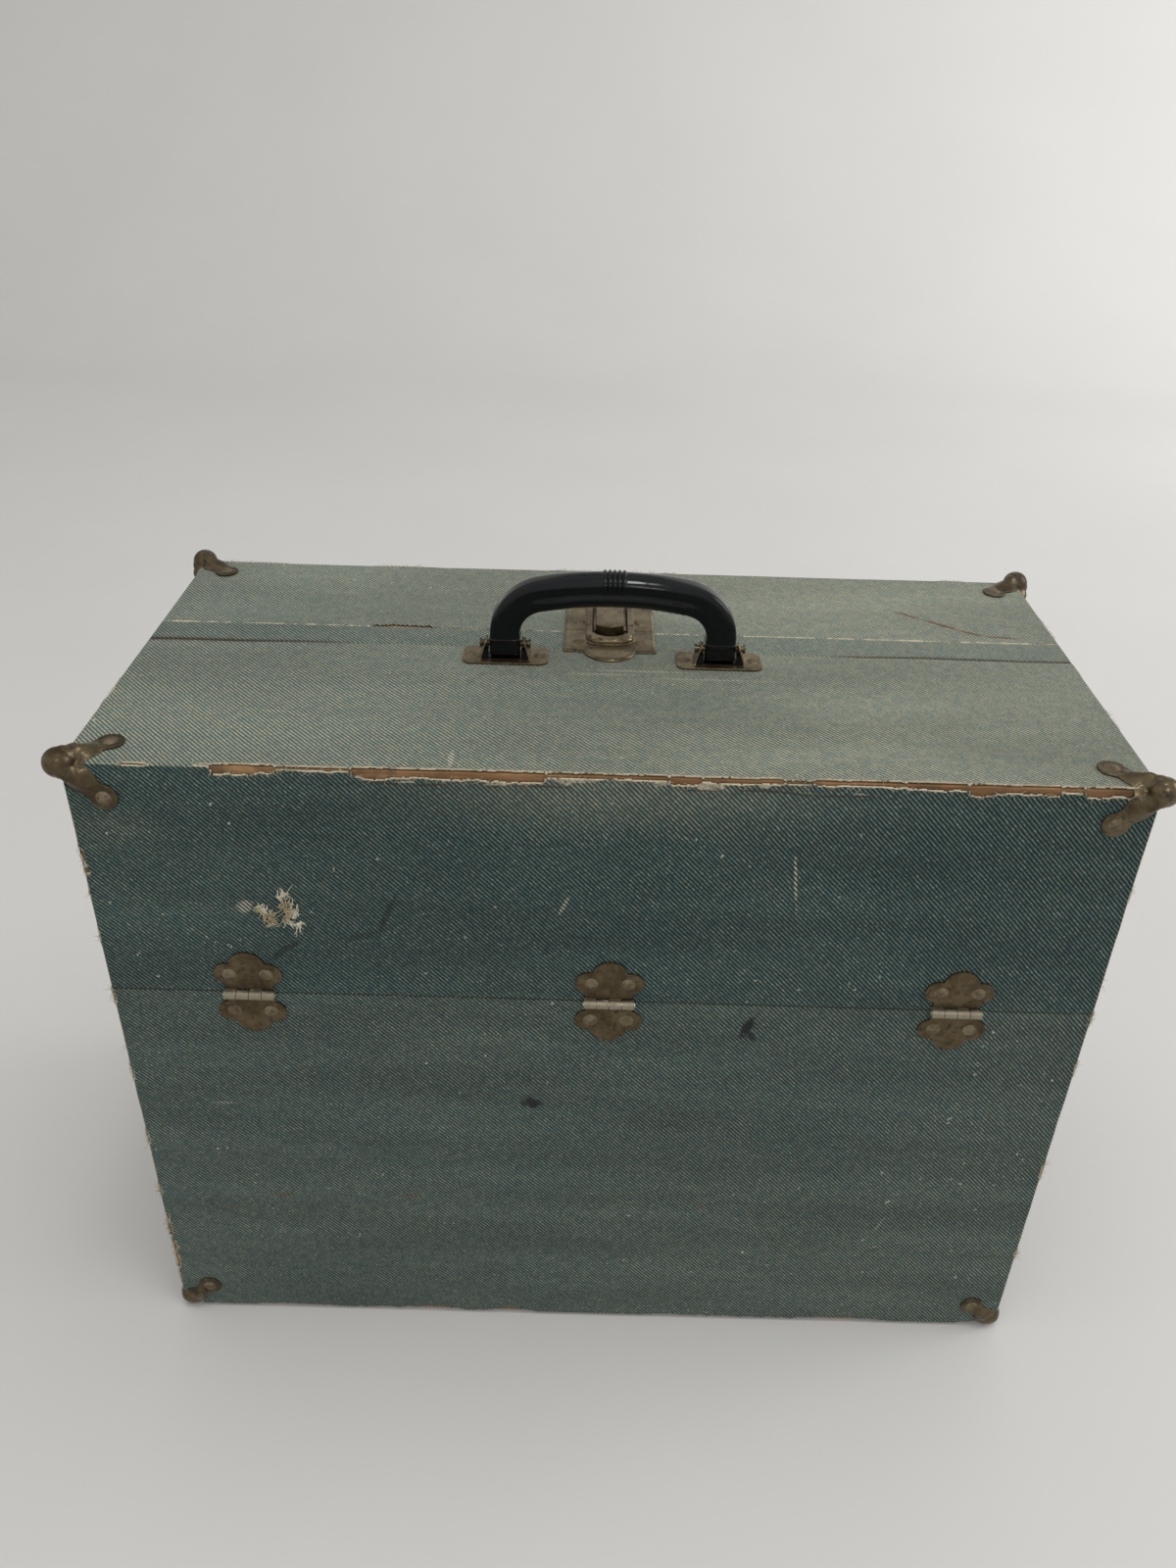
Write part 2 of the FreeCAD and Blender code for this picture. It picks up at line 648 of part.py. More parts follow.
def latch_collar(y_start, y_end):
    """Raised U round the nose: the outer form less the inner one, both with a round near end."""
    sunk = LATCH_SHEET / 6
    z = CASE_TOP + LATCH_SHEET - sunk
    height = COLLAR_HEIGHT + sunk

    def form(half, near_end):
        bend_radius = half * COLLAR_BEND
        xs = (LATCH_X - half, LATCH_X + half)
        bar = block(xs, (near_end + half / 2, y_end), (z, z + height))
        bend = rod(bend_radius, (LATCH_X, near_end + bend_radius, z), (0, 0, 1), height)
        band = block(xs, (near_end - 1, y_end), (z, z + height))
        return fuse([bar, bend]).common(band)

    collar = form(COLLAR_HALF, COLLAR_Y).cut(form(COLLAR_HALF - COLLAR_WALL, COLLAR_Y + COLLAR_WALL))
    keep = block((LATCH_X - LATCH_HALF, LATCH_X + LATCH_HALF), (y_start, y_end), (z, z + height))
    return collar.common(keep)


def keeper_plate():
    """Near half of the latch: scalloped plate with the round end of the collar."""
    z = (CASE_TOP, CASE_TOP + LATCH_SHEET)
    edge = lid_edge(NEAR)
    plate = block((LATCH_X - LATCH_HALF, LATCH_X + LATCH_HALF), (KEEPER_Y, edge), z)
    radius = (KEEPER_SCALLOP ** 2 + KEEPER_BULGE ** 2) / (2 * KEEPER_BULGE)
    scallop = rod(radius, (LATCH_X, KEEPER_Y - KEEPER_BULGE + radius, z[0]), (0, 0, 1), LATCH_SHEET)
    front = block((LATCH_X - LATCH_HALF, LATCH_X + LATCH_HALF), (KEEPER_Y - 20, edge), z)
    plate = fuse([plate, scallop.common(front)])
    body = fuse([plate, latch_collar(KEEPER_Y, edge)])
    return body.cut([latch_notch()] + rivet_holes(lid_rivet_places(NEAR)))


def catch_spring():
    """Bent spring strip that lines the notch and grips the nose."""
    z = (CASE_TOP - SPRING_DEPTH, CASE_TOP)
    edge = lid_edge(NEAR)
    outer = block((LATCH_X - NOTCH_HALF, LATCH_X + NOTCH_HALF), (NOTCH_Y, edge), z)
    inner_half = NOTCH_HALF - SPRING_SHEET
    inner = block((LATCH_X - inner_half, LATCH_X + inner_half), (NOTCH_Y + SPRING_SHEET, edge + 1),
                  (z[0] - 1, z[1] + 1))
    return outer.cut(inner)


def latch_base_plate():
    """Far half of the latch: plate, the collar's straight sides and the hasp's ears."""
    edge = lid_edge(FAR)
    plate = block((LATCH_X - LATCH_HALF, LATCH_X + LATCH_HALF), (edge, BASE_PLATE_Y),
                  (CASE_TOP, CASE_TOP + LATCH_SHEET))
    collar = latch_collar(edge, HASP_PIVOT_Y)
    ears = []
    pivot_z = CASE_TOP + HASP_PIVOT
    for out in (LEFT, RIGHT):
        xs = (LATCH_X + out * (COLLAR_HALF - COLLAR_WALL), LATCH_X + out * COLLAR_HALF)
        round_top = HASP_EAR_TOP - HASP_PIVOT
        ys = (HASP_PIVOT_Y - round_top, HASP_PIVOT_Y + round_top)
        ears.append(block(xs, ys, (CASE_TOP + 0.5, pivot_z)))
        ears.append(rod_x(round_top, xs, HASP_PIVOT_Y, pivot_z))
    bore = rod_x(HASP_PIN, (LATCH_X - 30, LATCH_X + 30), HASP_PIVOT_Y, pivot_z)
    body = fuse([plate, collar] + ears)
    return body.cut([bore] + rivet_holes(lid_rivet_places(FAR)))


def hasp_pin():
    half = COLLAR_HALF + 0.5
    return rod_x(HASP_PIN, (LATCH_X - half, LATCH_X + half), HASP_PIVOT_Y, CASE_TOP + HASP_PIVOT)


def hasp():
    """Box-shaped lever with a rounded nose, turning on the hasp pin."""
    pivot_z = CASE_TOP + HASP_PIVOT
    xs = (LATCH_X - NOSE_HALF, LATCH_X + NOSE_HALF)
    z = (CASE_TOP + HASP_LIFT, CASE_TOP + NOSE_TOP)
    nose_radius = NOSE_HALF * NOSE_BEND
    bar = block(xs, (NOSE_Y, HASP_PIVOT_Y), z)
    end = rod(nose_radius, (LATCH_X, NOSE_Y + nose_radius, z[0]), (0, 0, 1), z[1] - z[0])
    tail = block(xs, (NOSE_Y + nose_radius, HASP_PIVOT_Y), z)
    barrel = rod_x(HASP_BARREL, xs, HASP_PIVOT_Y, pivot_z)
    lever = fuse([bar.common(fuse([end, tail])), barrel])
    return lever.cut(rod_x(HASP_PIN + FIT, (xs[0] - 1, xs[1] + 1), HASP_PIVOT_Y, pivot_z))


# ---- trays and arms -------------------------------------------------------------------------
def tray_shape(side, level):
    """Outer x, the span of y' and z', the pivots and the number of cells of one tray."""
    spec = SIDES[side]
    count = 1 if level == "lower" else 2
    lid_pivot = (spec["link"][0] * count, spec["link"][1] * count)
    arm_pivot = (spec["arm"][0] + lid_pivot[0], spec["arm"][1] + lid_pivot[1])
    if level == "lower":
        return LOW_TRAY_X, spec["low_y"], spec["low_z"], (lid_pivot, arm_pivot), spec["low_cells"]
    return HIGH_TRAY_X, spec["high_y"], HIGH_TRAY_Z, (lid_pivot, arm_pivot), spec["high_cells"]


def tray_frame(side, level):
    """Two long sides between two end boards; the lower tray's ends carry the pivot bores."""
    outer_x, ys, zs, pivots, _ = tray_shape(side, level)
    y = [side_y(side, value) for value in ys]
    z = [side_z(value) for value in zs]
    inner_x = outer_x - TRAY_END
    boards = []
    for end in (LEFT, RIGHT):
        board = block((end * inner_x, end * outer_x), y, z)
        if level == "lower":
            board = board.cut([running_bore(side, point, end) for point in pivots])
        boards.append(board)
    for low, high in ((ys[0], ys[0] + TRAY_SIDE), (ys[1] - TRAY_SIDE, ys[1])):
        boards.append(block((-inner_x, inner_x), (side_y(side, low), side_y(side, high)), z))
    return boards


def running_bore(side, point, end):
    y, z = pivot_place(side, point)
    return rod_x(PIVOT_RADIUS + FIT, (end * 190, end * 230), y, z)


def tray_floor(side, level):
    outer_x, ys, zs, _, _ = tray_shape(side, level)
    inner_x = outer_x - TRAY_END
    y = (side_y(side, ys[0] + TRAY_SIDE), side_y(side, ys[1] - TRAY_SIDE))
    return block((-inner_x, inner_x), y, (side_z(zs[0]), side_z(zs[0] + TRAY_FLOOR)))


def tray_dividers(side, level):
    outer_x, ys, zs, _, cells = tray_shape(side, level)
    inner_x = outer_x - TRAY_END
    y = (side_y(side, ys[0] + TRAY_SIDE), side_y(side, ys[1] - TRAY_SIDE))
    z = (side_z(zs[0] + TRAY_FLOOR), side_z(zs[1] - DIVIDER_DROP))
    boards = []
    for index in range(1, cells):
        x = -inner_x + 2 * inner_x * index / cells
        boards.append(block((x - DIVIDER / 2, x + DIVIDER / 2), y, z))
    return boards


def upper_brackets(side):
    """Plates on the upper tray's ends that drop to its two pivots."""
    _, _, zs, pivots, _ = tray_shape(side, "upper")
    half = SIDES[side]["arm_half"]
    plates = []
    for end in (LEFT, RIGHT):
        xs = (end * BRACKET_X[0], end * BRACKET_X[1])
        left, right = pivots
        outline = [(left[0] - half, left[1]), (left[0] - half, zs[0] + 9),
                   (right[0] + half, zs[0] + 9), (right[0] + half, right[1]),
                   (right[0], right[1] - half), (left[0], left[1] - half)]
        points = [(min(xs), side_y(side, y), side_z(z)) for y, z in outline]
        plate = prism(points, (BRACKET_X[1] - BRACKET_X[0], 0, 0))
        plates.append(plate.cut([running_bore(side, point, end) for point in pivots]))
    return plates


def arm(side, end):
    """Straight link from the base to both trays, with a fixed stud at each tray pivot."""
    spec = SIDES[side]
    half = spec["arm_half"]
    anchor = spec["arm"]
    studs = [tray_shape(side, level)[3][1] for level in ("lower", "upper")]
    tip = studs[-1]
    run = math.hypot(tip[0] - anchor[0], tip[1] - anchor[1])
    across = (-(tip[1] - anchor[1]) / run * half, (tip[0] - anchor[0]) / run * half)
    outline = [(anchor[0] + across[0], anchor[1] + across[1]), (tip[0] + across[0], tip[1] + across[1]),
               (tip[0] - across[0], tip[1] - across[1]), (anchor[0] - across[0], anchor[1] - across[1])]
    xs = (end * ARM_X[0], end * ARM_X[1])
    strip = prism([(min(xs), side_y(side, y), side_z(z)) for y, z in outline],
                  (ARM_X[1] - ARM_X[0], 0, 0))
    pieces = [strip]
    for point in (anchor, tip):
        y, z = pivot_place(side, point)
        pieces.append(rod_x(half, xs, y, z))
    for point, inner in zip(studs, (LOW_TRAY_X - TRAY_END, BRACKET_X[0] + 0.1)):
        y, z = pivot_place(side, point)
        pieces.append(rod_x(PIVOT_RADIUS, (end * inner, end * ARM_X[1]), y, z))
        pieces.append(rod_x(PIVOT_HEAD, (end * ARM_X[1], end * (ARM_X[1] + 0.6)), y, z))
    return fuse(pieces).cut(running_bore(side, anchor, end))


def tray_pins(side):
    """Pins in the lid's cheeks, with a shoulder, that carry the trays."""
    pins = []
    ends = {"lower": (LOW_TRAY_X - TRAY_END - 0.2, LOW_TRAY_X + 0.2),
            "upper": (BRACKET_X[0] + 0.1, BRACKET_X[1] + 0.2)}
    for level, (inner, shoulder) in ends.items():
        y, z = pivot_place(side, tray_shape(side, level)[3][0])
        for end in (LEFT, RIGHT):
            pieces = [rod_x(PIVOT_RADIUS, (end * inner, end * PIVOT_ROOT_X), y, z),
                      rod_x(PIVOT_HEAD, (end * shoulder, end * INNER_X), y, z)]
            if level == "lower":
                head = (end * (inner - PIVOT_HEAD_LENGTH), end * inner)
                pieces.append(rod_x(PIVOT_HEAD, head, y, z))
            pins.append(fuse(pieces))
    return pins


# ---- assembly -------------------------------------------------------------------------------
def base_nodes():
    return {
        "base_left_end": base_end(LEFT),
        "base_right_end": base_end(RIGHT),
        "base_near_wall": base_long_wall(NEAR),
        "base_far_wall": base_long_wall(FAR),
        "base_bottom": base_bottom(),
        "base_cloth": base_cloth(),
        "bottom_corner_caps": corner_caps(BOTTOM_CORNERS, False),
        "base_rivets": rivets(base_rivet_places()),
        "near_hinge_lower_leaves": hinge_leaves(NEAR, -1),
        "far_hinge_lower_leaves": hinge_leaves(FAR, -1),
        "arm_pivot_pins": arm_pivot_pins(),
    }


def lid_nodes(side):
    name = SIDES[side]["name"]
    return {
        name + "_lid_wall": lid_wall(side),
        name + "_lid_top": lid_top(side),
        name + "_lid_left_cheek": lid_cheek(side, LEFT),
        name + "_lid_right_cheek": lid_cheek(side, RIGHT),
        name + "_lid_cloth": lid_cloth(side),
        name + "_lid_corner_caps": corner_caps(top_corners(side), True),
        name + "_lid_rivets": rivets(lid_rivet_places(side)),
        name + "_hinge_upper_leaves": hinge_leaves(side, 1),
        name + "_hinge_pins": hinge_pins(side),
        name + "_tray_pins": tray_pins(side),
    }


def hardware_nodes():
    left_foot, right_foot = handle_feet()
    return {
        "near_lid_edge_rail": near_edge_rail(),
        "left_handle_plate": handle_plate(left_foot),
        "right_handle_plate": handle_plate(right_foot),
        "handle_foot_spacers": foot_spacers(),
        "handle_pins": handle_pins(),
        "handle_grip": handle_grip(),
        "latch_keeper_plate": keeper_plate(),
        "catch_spring": catch_spring(),
        "latch_base_plate": latch_base_plate(),
        "hasp_pin": hasp_pin(),
        "hasp": hasp(),
    }


def tray_nodes(side):
    name = SIDES[side]["name"]
    nodes = {
        name + "_left_arm": arm(side, LEFT),
        name + "_right_arm": arm(side, RIGHT),
        name + "_upper_tray_brackets": upper_brackets(side),
    }
    for level in ("lower", "upper"):
        nodes[f"{name}_{level}_tray_frame"] = tray_frame(side, level)
        nodes[f"{name}_{level}_tray_floor"] = tray_floor(side, level)
        nodes[f"{name}_{level}_tray_dividers"] = tray_dividers(side, level)
    return nodes


def main():
    os.makedirs("parts", exist_ok=True)
    nodes = base_nodes()
    for side in (NEAR, FAR):
        nodes.update(lid_nodes(side))
        nodes.update(tray_nodes(side))
    nodes.update(hardware_nodes())
    for name, shape in nodes.items():
        solids = shape if isinstance(shape, list) else [shape]
        solids = [solid for item in solids for solid in item.Solids]
        Part.makeCompound(solids).exportStep(f"parts/{name}.step")


main()
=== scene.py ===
import math
from contextlib import contextmanager

import bmesh
import bpy
import numpy as np
from mathutils import Matrix, Vector


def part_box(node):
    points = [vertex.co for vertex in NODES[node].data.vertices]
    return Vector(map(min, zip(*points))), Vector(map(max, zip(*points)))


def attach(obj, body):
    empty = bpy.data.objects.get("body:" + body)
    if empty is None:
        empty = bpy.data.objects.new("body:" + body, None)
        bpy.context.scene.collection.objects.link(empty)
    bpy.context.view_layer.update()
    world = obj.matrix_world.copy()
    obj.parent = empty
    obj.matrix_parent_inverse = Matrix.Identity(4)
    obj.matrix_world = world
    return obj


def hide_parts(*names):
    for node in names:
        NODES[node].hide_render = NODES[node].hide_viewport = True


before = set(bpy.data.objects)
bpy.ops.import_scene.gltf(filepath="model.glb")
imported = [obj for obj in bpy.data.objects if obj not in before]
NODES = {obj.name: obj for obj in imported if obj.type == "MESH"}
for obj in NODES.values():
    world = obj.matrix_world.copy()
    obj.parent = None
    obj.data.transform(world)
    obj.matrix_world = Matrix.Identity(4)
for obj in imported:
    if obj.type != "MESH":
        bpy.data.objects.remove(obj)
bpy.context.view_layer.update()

# Looks of a closed, cloth-covered wooden sewing box.  Lengths in this file are in millimetres
# unless a name says otherwise; meshes are written in metres, in the CAD frame.
MM = 0.001


def box_mm(node):
    """Low and high corner of a CAD node's box in mm."""
    low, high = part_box(node)
    return np.array(low) / MM, np.array(high) / MM


def middle_and_half(low, high):
    """Middle and half width in x of a box."""
    return (low[0] + high[0]) / 2, (high[0] - low[0]) / 2


BASE_LOW, BASE_HIGH = box_mm("base_cloth")
NEAR_LOW, NEAR_HIGH = box_mm("near_lid_cloth")
FAR_LOW, FAR_HIGH = box_mm("far_lid_cloth")
HALF_X, HALF_Y = BASE_HIGH[0], BASE_HIGH[1]
FOOT, TOP = BASE_LOW[2], NEAR_HIGH[2]
NEAR_FACE = -HALF_Y
SURFACE = 0.01                        # a point this near a flat face counts as lying on it
HINGE_Z = (BASE_HIGH[2] + NEAR_LOW[2]) / 2
SEAM_Y = (NEAR_HIGH[1] + FAR_LOW[1]) / 2
CLOTH = 0.75                          # thickness of the modelled cloth
EDGE_RADIUS = 1.5                     # rounding of the cloth over the case's edges


# ---- value noise -------------------------------------
LATTICE = np.random.default_rng(11).random((64, 64, 64))


def noise3(points, scale):
    """Smooth value noise in 0..1 at points (n, 3), with features about scale mm across."""
    p = np.asarray(points, float) / scale + 1000.0
    cell = np.floor(p).astype(int)
    f = p - cell
    f = f * f * (3 - 2 * f)
    total = np.zeros(len(p))
    for dx in (0, 1):
        for dy in (0, 1):
            for dz in (0, 1):
                weight = (np.abs(1 - dx - f[:, 0]) * np.abs(1 - dy - f[:, 1])
                          * np.abs(1 - dz - f[:, 2]))
                value = LATTICE[(cell[:, 0] + dx) % 64, (cell[:, 1] + dy) % 64,
                                (cell[:, 2] + dz) % 64]
                total += weight * value
    return total


def noise_along_x(points, scale):
    """Value noise that changes only along the case's length."""
    return noise3(points * [1, 0, 0], scale)


def smooth(low, high, value):
    """Smooth step from 0 at low to 1 at high."""
    t = np.clip((value - low) / (high - low), 0, 1)
    return t * t * (3 - 2 * t)


def between(low, high, x, ramp=1.5):
    """1 where x lies between low and high, with soft ends."""
    return smooth(low - ramp, low + ramp, x) * (1 - smooth(high - ramp, high + ramp, x))


def on_top(points):
    """Whether points lie on the case's top."""
    return points[:, 2] > TOP - SURFACE


def on_near_wall(points):
    """Whether points lie on the case's near face."""
    return points[:, 1] < NEAR_FACE + SURFACE


# ---- meshes ------------------------------------------
def new_object(name, vertices_mm, faces, smooth_shade=True):
    """A mesh object in the scene, from vertices in mm."""
    mesh = bpy.data.meshes.new(name)
    mesh.from_pydata([tuple(v) for v in np.asarray(vertices_mm) * MM], [], faces)
    mesh.validate()
    mesh.update()
    if smooth_shade:
        mesh.polygons.foreach_set("use_smooth", [True] * len(mesh.polygons))
    obj = bpy.data.objects.new(name, mesh)
    bpy.context.scene.collection.objects.link(obj)
    return obj


def set_material(obj, material):
    """Gives a whole object one material."""
    obj.data.materials.clear()
    obj.data.materials.append(material)


def dress(obj, material, body, node=None):
    """Gives a piece its material and the body it rides on; it may stand for a CAD node."""
    set_material(obj, material)
    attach(obj, body)
    if node:
        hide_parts(node)


def add_modifier(obj, kind, **values):
    """Adds a modifier and sets its values."""
    modifier = obj.modifiers.new(kind.lower(), kind)
    for key, value in values.items():
        setattr(modifier, key, value)
    return modifier


def apply_modifiers(obj):
    """Replaces an object's mesh by the outcome of its modifiers."""
    graph = bpy.context.evaluated_depsgraph_get()
    mesh = bpy.data.meshes.new_from_object(obj.evaluated_get(graph))
    obj.modifiers.clear()
    old = obj.data
    obj.data = mesh
    bpy.data.meshes.remove(old)


def copy_of_node(node, name):
    """A new object with a copy of a CAD node's mesh, to be reworked."""
    obj = bpy.data.objects.new(name, NODES[node].data.copy())
    bpy.context.scene.collection.objects.link(obj)
    return obj


@contextmanager
def edited(obj):
    """An object's mesh as a bmesh, written back at the end."""
    mesh = bmesh.new()
    mesh.from_mesh(obj.data)
    yield mesh
    mesh.to_mesh(obj.data)
    mesh.free()


def loft_faces(rings, sides):
    """Faces between rings of points, one after another, and over the two ends."""
    faces = []
    for row in range(rings - 1):
        for index in range(sides):
            p = row * sides + index
            q = row * sides + (index + 1) % sides
            faces.append((p, q, q + sides, p + sides))
    last = (rings - 1) * sides
    faces.append(tuple(range(sides))[::-1])
    faces.append(tuple(range(last, last + sides)))
    return faces


def tube(path, radius, sides=3, taper=0.6):
    """Vertices and faces of a closed tube round a path; it ends at taper times its radius."""
    path = np.asarray(path, float)
    count = len(path)
    radii = np.linspace(radius, radius * taper, count)
    vertices = []
    for index in range(count):
        ahead = path[min(index + 1, count - 1)] - path[max(index - 1, 0)]
        ahead /= max(np.linalg.norm(ahead), 1e-9)
        helper = np.array([0, 0, 1.0]) if abs(ahead[2]) < 0.9 else np.array([1.0, 0, 0])
        a = np.cross(ahead, helper)
        a /= np.linalg.norm(a)
        b = np.cross(ahead, a)
        for side in range(sides):
            angle = 2 * math.pi * side / sides
            vertices.append(path[index] + radii[index] * (math.cos(angle) * a + math.sin(angle) * b))
    return vertices, loft_faces(count, sides)


def curled(start, way, length, curl, steps):
    """Points of a strand that leaves start along way and bends towards curl."""
    return np.array([start + way * length * t + curl * length * t * t for t in steps])


class Strands:
    """Many small tubes gathered into one mesh."""

    def __init__(self):
        self.vertices = []
        self.faces = []

    def add(self, path, radius):
        start = len(self.vertices)
        vertices, faces = tube(path, radius)
        self.vertices += vertices
        self.faces += [tuple(i + start for i in face) for face in faces]

    def build(self, name):
        return new_object(name, self.vertices, self.faces)


# ---- node graphs -------------------------------------
class Graph:
    """A material's node tree with short calls for the nodes used here."""

    def __init__(self, name):
        self.material = bpy.data.materials.new(name)
        self.material.use_nodes = True
        self.tree = self.material.node_tree
        self.tree.nodes.clear()
        self.output = self.node("ShaderNodeOutputMaterial")
        self.shader = self.node("ShaderNodeBsdfPrincipled")
        self.link(self.shader.outputs[0], self.output.inputs["Surface"])
        self.place = self.node("ShaderNodeTexCoord").outputs["Object"]

    def node(self, kind, **properties):
        made = self.tree.nodes.new(kind)
        for key, value in properties.items():
            setattr(made, key, value)
        return made

    def link(self, source, target):
        self.tree.links.new(source, target)

    def put(self, target, value):
        if isinstance(value, bpy.types.NodeSocket):
            self.link(value, target)
        elif isinstance(value, (tuple, list)) and len(value) == 3 and target.type == "RGBA":
            target.default_value = (*value, 1)
        else:
            target.default_value = value

    def math(self, operation, a, b=0.0, c=0.0, clamp=False):
        made = self.node("ShaderNodeMath", operation=operation, use_clamp=clamp)
        for index, value in enumerate((a, b, c)):
            self.put(made.inputs[index], value)
        return made.outputs[0]

    def plus(self, a, b):
        return self.math("ADD", a, b)

    def minus(self, a, b):
        return self.math("SUBTRACT", a, b)

    def times(self, a, b):
        return self.math("MULTIPLY", a, b)

    def vector(self, operation, a, b=(0, 0, 0)):
        made = self.node("ShaderNodeVectorMath", operation=operation)
        self.put(made.inputs[0], a)
        self.put(made.inputs[1], b)
        return made.outputs["Value"] if operation in ("LENGTH", "DOT_PRODUCT") else made.outputs[0]

    def split(self, vector):
        return self.node_outputs("ShaderNodeSeparateXYZ", vector)

    def node_outputs(self, kind, value):
        made = self.node(kind)
        self.put(made.inputs[0], value)
        return made.outputs

    def noise(self, scale, detail=2.0, stretch=None, place=None, rough=0.55):
        """Noise whose features are about 1/scale metres across."""
        where = self.place if place is None else place
        if stretch is not None:
            where = self.vector("MULTIPLY", where, stretch)
        made = self.node("ShaderNodeTexNoise")
        self.put(made.inputs["Vector"], where)
        made.inputs["Scale"].default_value = scale
        made.inputs["Detail"].default_value = detail
        made.inputs["Roughness"].default_value = rough
        return made.outputs["Fac"]

    def band(self, value, low, high, to_low=0.0, to_high=1.0):
        """Smooth step of value from low to high."""
        made = self.node("ShaderNodeMapRange", interpolation_type="SMOOTHSTEP")
        self.put(made.inputs["Value"], value)
        for key, number in (("From Min", low), ("From Max", high), ("To Min", to_low),
                            ("To Max", to_high)):
            made.inputs[key].default_value = number
        return made.outputs[0]

    def mix(self, factor, a, b, blend="MIX"):
        made = self.node("ShaderNodeMix", data_type="RGBA", blend_type=blend)
        self.put(made.inputs["Factor"], factor)
        self.put(made.inputs[6], a)
        self.put(made.inputs[7], b)
        return made.outputs[2]

    def attribute(self, name):
        return self.node("ShaderNodeAttribute", attribute_name=name).outputs["Fac"]

    def bump(self, height, strength, distance_mm, normal=None):
        made = self.node("ShaderNodeBump")
        self.put(made.inputs["Height"], height)
        made.inputs["Strength"].default_value = strength
        made.inputs["Distance"].default_value = distance_mm * MM
        if normal is not None:
            self.link(normal, made.inputs["Normal"])
        return made.outputs[0]

    def finish(self, color, roughness, normal=None, **constants):
        self.put(self.shader.inputs["Base Color"], color)
        self.put(self.shader.inputs["Roughness"], roughness)
        if normal is not None:
            self.link(normal, self.shader.inputs["Normal"])
        for key, value in constants.items():
            self.put(self.shader.inputs[key.replace("_", " ")], value)
        return self.material


# Marks on the cloth: (face, centre, half sizes, turn in degrees, strength).  A "wall" mark lies
# on the near wall, with its centre and sizes along x and z; a "lid" mark on the top, along x and y.
MARK_DEPTH = 9.0                      # half size of a mark across its face
DARK_MARKS = (
    ("wall", 68.5, 220.5, 2.4, 7.6, 16, 0.95),
    ("wall", 71.0, 216.0, 2.0, 4.4, -30, 0.8),
    ("wall", -32.8, 168.0, 5.0, 3.6, 0, 0.95),
    ("wall", -98.0, 281.0, 1.5, 13.0, 22, 0.55),
    ("wall", -110.0, 270.0, 10.0, 2.0, -20, 0.4),
    ("wall", -145.0, 261.0, 9.0, 2.0, -38, 0.6),
)
BROWN_MARKS = (
    ("wall", -163.0, 95.1, 5.0, 0.9, 0, 0.8),
    ("wall", -96.0, 97.0, 7.0, 0.8, 0, 0.8),
    ("wall", 55.8, 93.9, 2.6, 1.2, 0, 0.7),
    ("wall", -190.0, 84.0, 3.0, 1.0, 0, 0.5),
    ("lid", 158.0, 60.4, 9.0, 1.1, -36, 0.9),
    ("lid", 173.0, 49.4, 9.5, 1.4, -36, 1.0),
    ("lid", 186.0, 40.4, 7.0, 1.2, -30, 1.0),
    ("lid", 200.5, 36.0, 10.0, 1.1, -7, 0.9),
)
PALE_MARKS = (
    ("wall", 81.8, 306.9, 0.7, 15.0, -7, 0.8),
    ("wall", -160.0, 285.3, 4.0, 3.4, 0, 0.75),
    ("wall", -185.0, 162.2, 7.0, 0.8, 0, 0.5),
    ("wall", 151.1, 83.7, 0.7, 6.0, 20, 0.5),
    ("wall", -18.8, 290.1, 1.0, 5.0, 25, 0.7),
    ("lid", 12.5, -13.4, 24.0, 1.1, 0, 0.75),
    ("lid", -4.0, -17.5, 17.0, 1.0, 0, 0.6),
    ("lid", 46.0, -20.5, 32.0, 0.8, 0, 0.5),
    ("lid", -67.3, -100.1, 1.2, 7.0, 0, 0.8),
    ("lid", -150.0, -62.0, 7.0, 0.8, 0, 0.35),
)


def mark_mask(graph, marks, wobble):
    """Union of soft-edged ellipses whose outlines are made ragged by noise."""
    total = None
    for face, x, second, half_x, half_second, turn, strength in marks:
        on_wall = face == "wall"
        centre = (x, NEAR_FACE, second) if on_wall else (x, second, TOP)
        half = (half_x, MARK_DEPTH, half_second) if on_wall else (half_x, half_second, MARK_DEPTH)
        made = graph.node("ShaderNodeMapping", vector_type="TEXTURE")
        graph.put(made.inputs["Vector"], graph.place)
        made.inputs["Location"].default_value = [c * MM for c in centre]
        made.inputs["Rotation"].default_value[1 if on_wall else 2] = math.radians(turn)
        made.inputs["Scale"].default_value = [h * MM for h in half]
        distance = graph.plus(graph.vector("LENGTH", made.outputs[0]), wobble)
        one = graph.band(distance, MARK_INNER, MARK_OUTER, strength, 0.0)
        total = one if total is None else graph.math("MAXIMUM", total, one)
    return total


WALE_ALONG, WALE_UP = 2.2, 2.4        # pitch of the twill's diagonal ribs along u and v
STITCH_PITCH = 0.95                   # pitch of the stitches along a rib
MARK_INNER, MARK_OUTER = 0.55, 1.25   # a mark fades out between these shares of its half sizes


